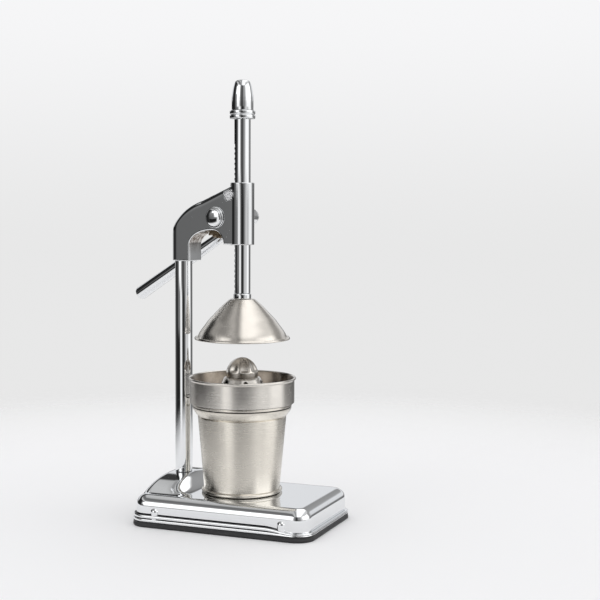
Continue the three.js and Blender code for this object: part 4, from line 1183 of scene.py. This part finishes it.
# %% [markdown]
# ## Press cone
# The cone is spun from sheet over a former: it flares out from a small flat top and ends in a lip that is
# turned out. The inside follows the outside at the sheet's thickness. A profile swept round the axis is just
# how the real one comes about.

# %% Press cone
CONE_WALL, CONE_BORE, CONE_FLAT = 1.5, 3.3, 11.7
# Radius, and height from the cone's top
CONE_CURVE = [
    (CONE_FLAT, 0), (19.2, -6.7), (26.8, -14.7), (31.1, -19.3), (34.7, -24.1), (39.6, -30.8), (41.7, -35.4),
]
# Radius, and height over the cone's lip
CONE_LIP = [(43.6, 2.5), (44.55, 1.2), (44.5, 0.5), (43.7, 0.1)]
CONE_BACK = [(42.4, 0.9), (41.2, 2.6)]


def make_cone():
    low, high = ends_of("press_cone")
    curve = curve_through(raised(CONE_CURVE, high), 7)
    inner = [(radius - 1.05, height - 1.07) for radius, height in curve[3:-2]]
    lip = curve_through([curve[-1], *raised(CONE_LIP, low)], 4)[1:]
    top = rounded([(CONE_BORE, high - CONE_WALL), (CONE_BORE, high), (CONE_FLAT, high, 0.8), curve[3]])
    inside = [*raised(CONE_BACK, low), *inner[::-1], (9.6, high - CONE_WALL)]
    line = [*top[:-1], *curve[3:], *lip, *inside, top[0]]
    return settle(lathe("cone_shell", line), "ram", "brushed", cone_steel, "press_cone")


make_cone()
cone_ring = lathe("cone_ring", ring_profile(CONE_BORE, 8.2, *ends_of("cone_collar"), 0.8))
settle(cone_ring, "ram", "chrome", tube_chrome, "cone_collar")

# %% [markdown]
# ### Screw and washer inside the cone
# Looking up into the cone shows the screw that holds it, with a pressed washer. Its head is a low round one
# with a socket.

# %% Cone screw
washer = lathe("cone_disc", ring_profile(CONE_BORE, 8, *ends_of("cone_washer"), 0.4), 96)
settle(washer, "ram", "steel", turned_steel, "cone_washer")


def socket_screw(name, body, node, shank, head, head_height, socket):
    """A screw that stands on its head, with a round socket sunk in the head from below."""
    low, high = ends_of(node)
    seat = low + head_height
    profile = rounded([
        (0, low + head_height * 0.6), (socket * 0.9, low + head_height * 0.55), (socket, low, 0.15),
        (head, low, 0.6), (head, seat, 0.15), (shank, seat), (shank, high, 0.4), (0, high),
    ])
    return settle(lathe(name, profile, 72), body, "steel", turned_steel, node)


socket_screw("cone_screw_turned", "ram", "cone_screw", 3, 6, 3, 2.6)

# %% [markdown]
# ## Juice cup
# The cup is spun too. It has a rolled bead at its foot, a body that widens upwards, a fine groove, and
# a shoulder that swells out to the mouth that carries the strainer.

# %% Juice cup
CUP_WALL, CUP_MOUTH = 1.2, 46.5
# Radius, height over the cup's foot, rounding
CUP_BEAD = [(36.6, 0.25), (37.5, 0.95), (37.8, 1.85), (37.4, 2.9), (36.4, 3.5)]
CUP_BODY = [(35.5, 3.7, 0.5), (41.4, 71, 0.35)]
CUP_SWELL = [(40.7, 71.6), (41.7, 72.5), (43.1, 74.0), (44.8, 76.4), (45.9, 78.3), (46.3, 79.9)]
# The groove under the mouth, and the heights and radii between which it is darkened as painted shade
CUP_GROOVE = [(45.7, 80.4, 0.15), (45.7, 80.9, 0.15), (CUP_MOUTH, 81.2, 0.4)]
GROOVE_SHADE_RISE, GROOVE_SHADE_RADIUS = (80.2, 81.1), (45.5, 46)
# The inside of the body and the floor
CUP_INSIDE = [(40.1, 70.4, 0.5), (34.3, 3.9, 2.2), (31, CUP_WALL, 2), (0, CUP_WALL)]
cup_low, cup_high = ends_of("juice_cup")


def make_cup():
    bead = curve_through(raised(CUP_BEAD, cup_low), 5)
    outer = curve_through(raised(CUP_SWELL, cup_low), 5)
    inner = [(radius - CUP_WALL, height + 0.1) for radius, height in outer][::-1]
    foot, mouth = (0, cup_low), [(CUP_MOUTH, cup_high, 0.45), (CUP_MOUTH - CUP_WALL, cup_high, 0.45)]
    line = [foot, *rounded([foot, (35.9, cup_low, 0.3), bead[0]])[1:-1], *bead,
            *rounded([bead[-1], *raised(CUP_BODY, cup_low), outer[0]])[1:-1], *outer,
            *rounded([outer[-1], *raised(CUP_GROOVE, cup_low), *mouth, inner[0]])[1:-1], *inner,
            *rounded([inner[-1], *raised(CUP_INSIDE, cup_low)])[1:]]
    cup = lathe("cup_spun", line, 192)
    at = corners_of(cup)
    radius, rise = np.hypot(*at[:, :2].T), at[:, 2] - cup_low
    # Painted shade: the groove under the mouth is darkened
    mark(cup, "seam", within(rise, *GROOVE_SHADE_RISE) & within(radius, *GROOVE_SHADE_RADIUS))
    return settle(cup, "cup", "brushed", cup_steel, "juice_cup")


make_cup()

# %% [markdown]
# ## Strainer bowl
# The bowl hangs on the cup's mouth by a small ledge. Its wide band has a rolled rim, its floor a ring of
# small holes, and a hollow skirt rises in the middle to carry the reamer, with larger drain holes.
# A Geometry Nodes tree drills them: it puts a pin on each point of a ring and subtracts them all at once.

# %% A tree that drills a ring of holes


def make_drill_tree():
    numbers = dict.fromkeys(["Ring", "Height", "Start"], "Float")
    sockets = {"Pin": "Object", "Holes": "Int", **numbers, "Material": "Material"}
    tree, given, out = new_tree("drill_ring", sockets)
    circle = add_node(tree, "GeometryNodeMeshCircle", {"Vertices": given["Holes"], "Radius": given["Ring"]})
    lift, turn = joined(tree, z=given["Height"]), joined(tree, z=given["Start"])
    inputs = {0: circle.outputs[0], "Translation": lift, "Rotation": turn}
    placed = add_node(tree, "GeometryNodeTransform", inputs)
    x, y, _ = split(tree, add_node(tree, "GeometryNodeInputPosition").outputs[0])
    face = joined(tree, z=count_up(tree, "ARCTAN2", y, x))
    pin = add_node(tree, "GeometryNodeObjectInfo", {"Object": given["Pin"]}).outputs["Geometry"]
    inputs = {"Points": placed.outputs[0], "Instance": pin, "Rotation": face}
    pins = add_node(tree, "GeometryNodeInstanceOnPoints", inputs)
    real = add_node(tree, "GeometryNodeRealizeInstances", {"Geometry": pins.outputs[0]})
    drilled = add_node(tree, "GeometryNodeMeshBoolean", operation="DIFFERENCE", solver="EXACT")
    tree.links.new(given["Geometry"], drilled.inputs["Mesh 1"])
    tree.links.new(real.outputs[0], drilled.inputs["Mesh 2"])
    return end_tree(tree, drilled, given, out)


drill_tree = make_drill_tree()


def drill(piece, pin, holes, ring, height, start):
    values = {"Pin": pin, "Holes": holes, "Ring": ring * MM, "Height": height * MM, "Start": start}
    bake(piece, drill_tree, {**values, "Material": band_steel})
    bpy.data.objects.remove(pin)
    smooth(piece)


print("tree ready:", drill_tree.name)

# %% Strainer bowl
WALL = 1.2
bowl_low, bowl_high = ends_of("strainer_bowl")
ledge = cup_high + FIT
skirt_high = ends_of("reamer")[0] - FIT
PLUG, PLUG_FOOT, SKIRT_FOOT, SKIRT_TOP, BAND = 44.9, 42.9, 32.0, 16.8, 48.9
REAMER_HOLE = 2.3
# Radius, and height from the bowl's brim
RIM = [
    (BAND, -2.9), (49.3, -2.45), (50.1, -1.9), (50.4, -1.1), (50.1, -0.35), (49.4, -0.02), (48.4, -0.35),
    (47.7, -1.3),
]
# Rings of holes: their number, radius, ring, first angle and height
FLOOR_HOLES, FLOOR_HOLE = 28, 1.5
DRAIN_HOLES, DRAIN_HOLE, DRAIN_RING, DRAIN_START, DRAIN_DROP = 6, 2.2, 22.5, radians(15), 4.6
# Where juice stain and painted shade brown the inside, and where painted shade darkens the band over the ledge
STAINED_AND_SHADED, STAIN_AND_SHADE_RISE = (33, 48.1), 1
LEDGE_SHADE_RADIUS, LEDGE_SHADE_RISE = 47, 0.35


def make_bowl():
    rim = curve_through(raised(RIM, bowl_high), 4)
    lower = rounded([
        (REAMER_HOLE, skirt_high - WALL), (SKIRT_TOP - WALL, skirt_high - WALL, 1.2),
        (SKIRT_FOOT - WALL, bowl_low, 1.5), (PLUG_FOOT, bowl_low, 1.2),
        (PLUG, ledge, 0.3), (BAND, ledge, 0.6), rim[0],
    ])
    upper = rounded([
        rim[-1], (47.2, ledge + WALL, 1.0), (PLUG - WALL, ledge + WALL, 0.8),
        (PLUG_FOOT - WALL, bowl_low + WALL, 1.0), (SKIRT_FOOT, bowl_low + WALL, 2.2),
        (SKIRT_TOP, skirt_high, 2.2), (REAMER_HOLE, skirt_high), lower[0],
    ])
    bowl = lathe("strainer_spun", [*lower[:-1], *rim, *upper[1:]], 192)
    pin = raised([(0, -2), (FLOOR_HOLE, -2), (FLOOR_HOLE, 3.5), (0, 3.5)], bowl_low)
    drill(bowl, lathe("floor_pin", pin, 18), FLOOR_HOLES, (SKIRT_FOOT + PLUG_FOOT - WALL) / 2, 0, 0)
    drain = lathe("drain_pin", [(0, -7), (DRAIN_HOLE, -7), (DRAIN_HOLE, 9), (0, 9)], 24)
    drain.data.transform(Matrix.Rotation(radians(90), 4, "Y"))
    drill(bowl, drain, DRAIN_HOLES, DRAIN_RING, (skirt_high + bowl_high) / 2 - DRAIN_DROP, DRAIN_START)
    at = corners_of(bowl)
    radius, height = np.hypot(*at[:, :2].T), at[:, 2]
    # The inside of the bowl is browned: juice stain and painted shade
    mark(bowl, "stain", within(radius, *STAINED_AND_SHADED) & (height > bowl_low + STAIN_AND_SHADE_RISE))
    # Painted shade over the ledge, where the band meets the cup
    mark(bowl, "seam", (height < ledge + LEDGE_SHADE_RISE) & (radius > LEDGE_SHADE_RADIUS))
    return settle(bowl, "strainer", "brushed", None, "strainer_bowl")


make_bowl()

# %% [markdown]
# ## Reamer
# The reamer is a small dome with eight ribs that grip the half fruit. It is a lathe shape whose radius a
# Geometry Nodes tree changes with the angle: the ribs are a cosine round the axis, and they fade in above the
# plain neck.

# %% A tree that raises ribs


def make_rib_tree():
    numbers = dict.fromkeys(["Ribs", "Depth", "Low", "High"], "Float")
    tree, given, out = new_tree("raise_ribs", {**numbers, "Material": "Material"})
    x, y, z = split(tree, add_node(tree, "GeometryNodeInputPosition").outputs[0])
    turn = product(tree, count_up(tree, "ARCTAN2", y, x), given["Ribs"])
    wave = scaled(tree, count_up(tree, "COSINE", turn), 0.5, 0.5)
    fade = soft_step(tree, z, given["Low"], given["High"])
    depth = product(tree, product(tree, count_up(tree, "POWER", wave, 0.7), fade), given["Depth"])
    share = count_up(tree, "SUBTRACT", 1.0, depth)
    moved = joined(tree, product(tree, x, share), product(tree, y, share), z)
    inputs = {"Geometry": given["Geometry"], "Position": moved}
    return end_tree(tree, add_node(tree, "GeometryNodeSetPosition", inputs), given, out)


rib_tree = make_rib_tree()
print("tree ready:", rib_tree.name)

# %% Reamer
REAMER_RADIUS, REAMER_NECK, REAMER_HOLLOW = 15.1, 4, 9
RIBS, RIB_DEPTH, RIB_FADE = 8.0, 0.1, 3
# Shares of the dome's radius and height
DOME = [(1, 0), (1, 0.06), (0.96, 0.22), (0.87, 0.43), (0.72, 0.65), (0.5, 0.84), (0.24, 0.965), (0, 1)]


def make_ribbed_reamer():
    low, high = ends_of("reamer")
    neck, hollow = low + REAMER_NECK, low + REAMER_HOLLOW
    dome = curve_through([(REAMER_RADIUS * out, neck + (high - neck) * up) for out, up in DOME], 6)
    foot = rounded([(REAMER_HOLE, hollow), (REAMER_HOLE, low), (REAMER_RADIUS, low, 0.5), dome[0]])
    piece = lathe("reamer_ribbed", [(0, hollow), *foot[:-1], *dome], 192)
    values = {"Ribs": RIBS, "Depth": RIB_DEPTH, "Low": neck * MM, "High": (neck + RIB_FADE) * MM}
    bake(piece, rib_tree, {**values, "Material": cone_steel})
    piece.data.shade_smooth()
    return settle(piece, "strainer", "brushed", None, "reamer")


make_ribbed_reamer()
socket_screw("reamer_screw_turned", "strainer", "reamer_screw", 2, 4.5, 2.4, 1.9)

# %% [markdown]
# ## Pivot and lever
# The pinion's shaft ends in a domed nut at the front and carries the lever at the back, past a plain spacer.
# The lever is a tapered bar that sits in a round hub. These pieces are turned as well, then laid along the
# shaft or along the lever.

# %% Round pieces on the shaft
SHAFT_BORE = 5.3


def dome_profile(radius, brim, height, depth):
    """A domed nut that is bored from its flat side."""
    arc = [(radius * cos(a) ** 0.92, brim + height * sin(a)) for a in np.linspace(0.12, pi / 2, 16)[:-1]]
    edge = rounded([(SHAFT_BORE, 0), (radius, 0, 0.35), (radius, brim, 0.5), arc[0]])[1:-1]
    inside = [(0, brim + height), (0, depth), (SHAFT_BORE, depth), (SHAFT_BORE, 0)]
    return [(SHAFT_BORE, 0), *edge, *arc, *inside]


def shaft_ring(radius, width, *sizes):
    return ring_profile(SHAFT_BORE, radius, 0, width, *sizes)


def width_of(node):
    low, high = ends_of(node, "y")
    return high - low


# Name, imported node, profile, and whether it starts at the node's back and points to the front
ON_SHAFT = [
    ("front_disc", "front_washer", shaft_ring(9.9, 1.2, 0.3, 0.8), True),
    ("front_dome", "front_cap", dome_profile(8.3, 0.6, 2.2, 1.4), True),
    ("spacer_tube", "lever_spacer", shaft_ring(7.6, width_of("lever_spacer"), 0.5), False),
    ("lever_disc", "lever_washer", shaft_ring(7.5, 1, 0.25), False),
    ("lever_dome", "lever_nut", dome_profile(6.4, 1.0, 2.6, 1.3), False),
    ("hub_ring", "lever_hub", shaft_ring(8, width_of("lever_hub"), 1.0), False),
]
for name, node, profile, to_front in ON_SHAFT:
    place = (pivot.x, ends_of(node, "y")[to_front], pivot.z)
    settle(turn_to_y(lathe(name, profile, 128), place, to_front), "crank", "chrome", tube_chrome, node)

# %% Lever bar
# How far the lever hangs below level, and where it starts and ends along its own line
LEVER_DROP = radians(30.75)
LEVER_START, LEVER_LENGTH = 7.0, 157.5
lever = lathe("lever_handle", rounded([
    (0, LEVER_START), (4.85, LEVER_START), (6.85, LEVER_LENGTH - 0.1, 2.4), (0, LEVER_LENGTH),
]))
lever_foot = Vector((pivot.x, sum(ends_of("lever_hub", "y")) / 2, pivot.z))
aim = Matrix.Rotation(-pi / 2 - LEVER_DROP, 4, "Y")
lever.data.transform(Matrix.Translation(lever_foot * MM) @ aim)
settle(lever, "crank", "chrome", tube_chrome, "lever_bar")

# %% [markdown]
# ## Hidden machine parts
# The pinion, its shaft and key, the bushes, the column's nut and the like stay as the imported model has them,
# because they sit in shadow or inside other pieces. They only get real finishes: turned steel, bronze, and
# dark grease on the pinion's teeth.

# %% Finishes of the carried-over parts
CARRIED_OVER = {
    turned_steel: ["pinion_shaft", "pinion_key", "column_washer", "column_nut", "hub_screw"],
    greased_steel: ["pinion"],
    bearing_bronze: ["upper_bush", "lower_bush", "rear_shaft_bush", "front_shaft_bush"],
}
for finish, names in CARRIED_OVER.items():
    for material_slot in [slot for name in names for slot in nodes[name].material_slots]:
        material_slot.material = finish
carried = sum(CARRIED_OVER.values(), [])
left_bare = [name for name, node in nodes.items() if not node.hide_render and name not in carried]
print("carried over:", len(carried), "left bare:", left_bare)
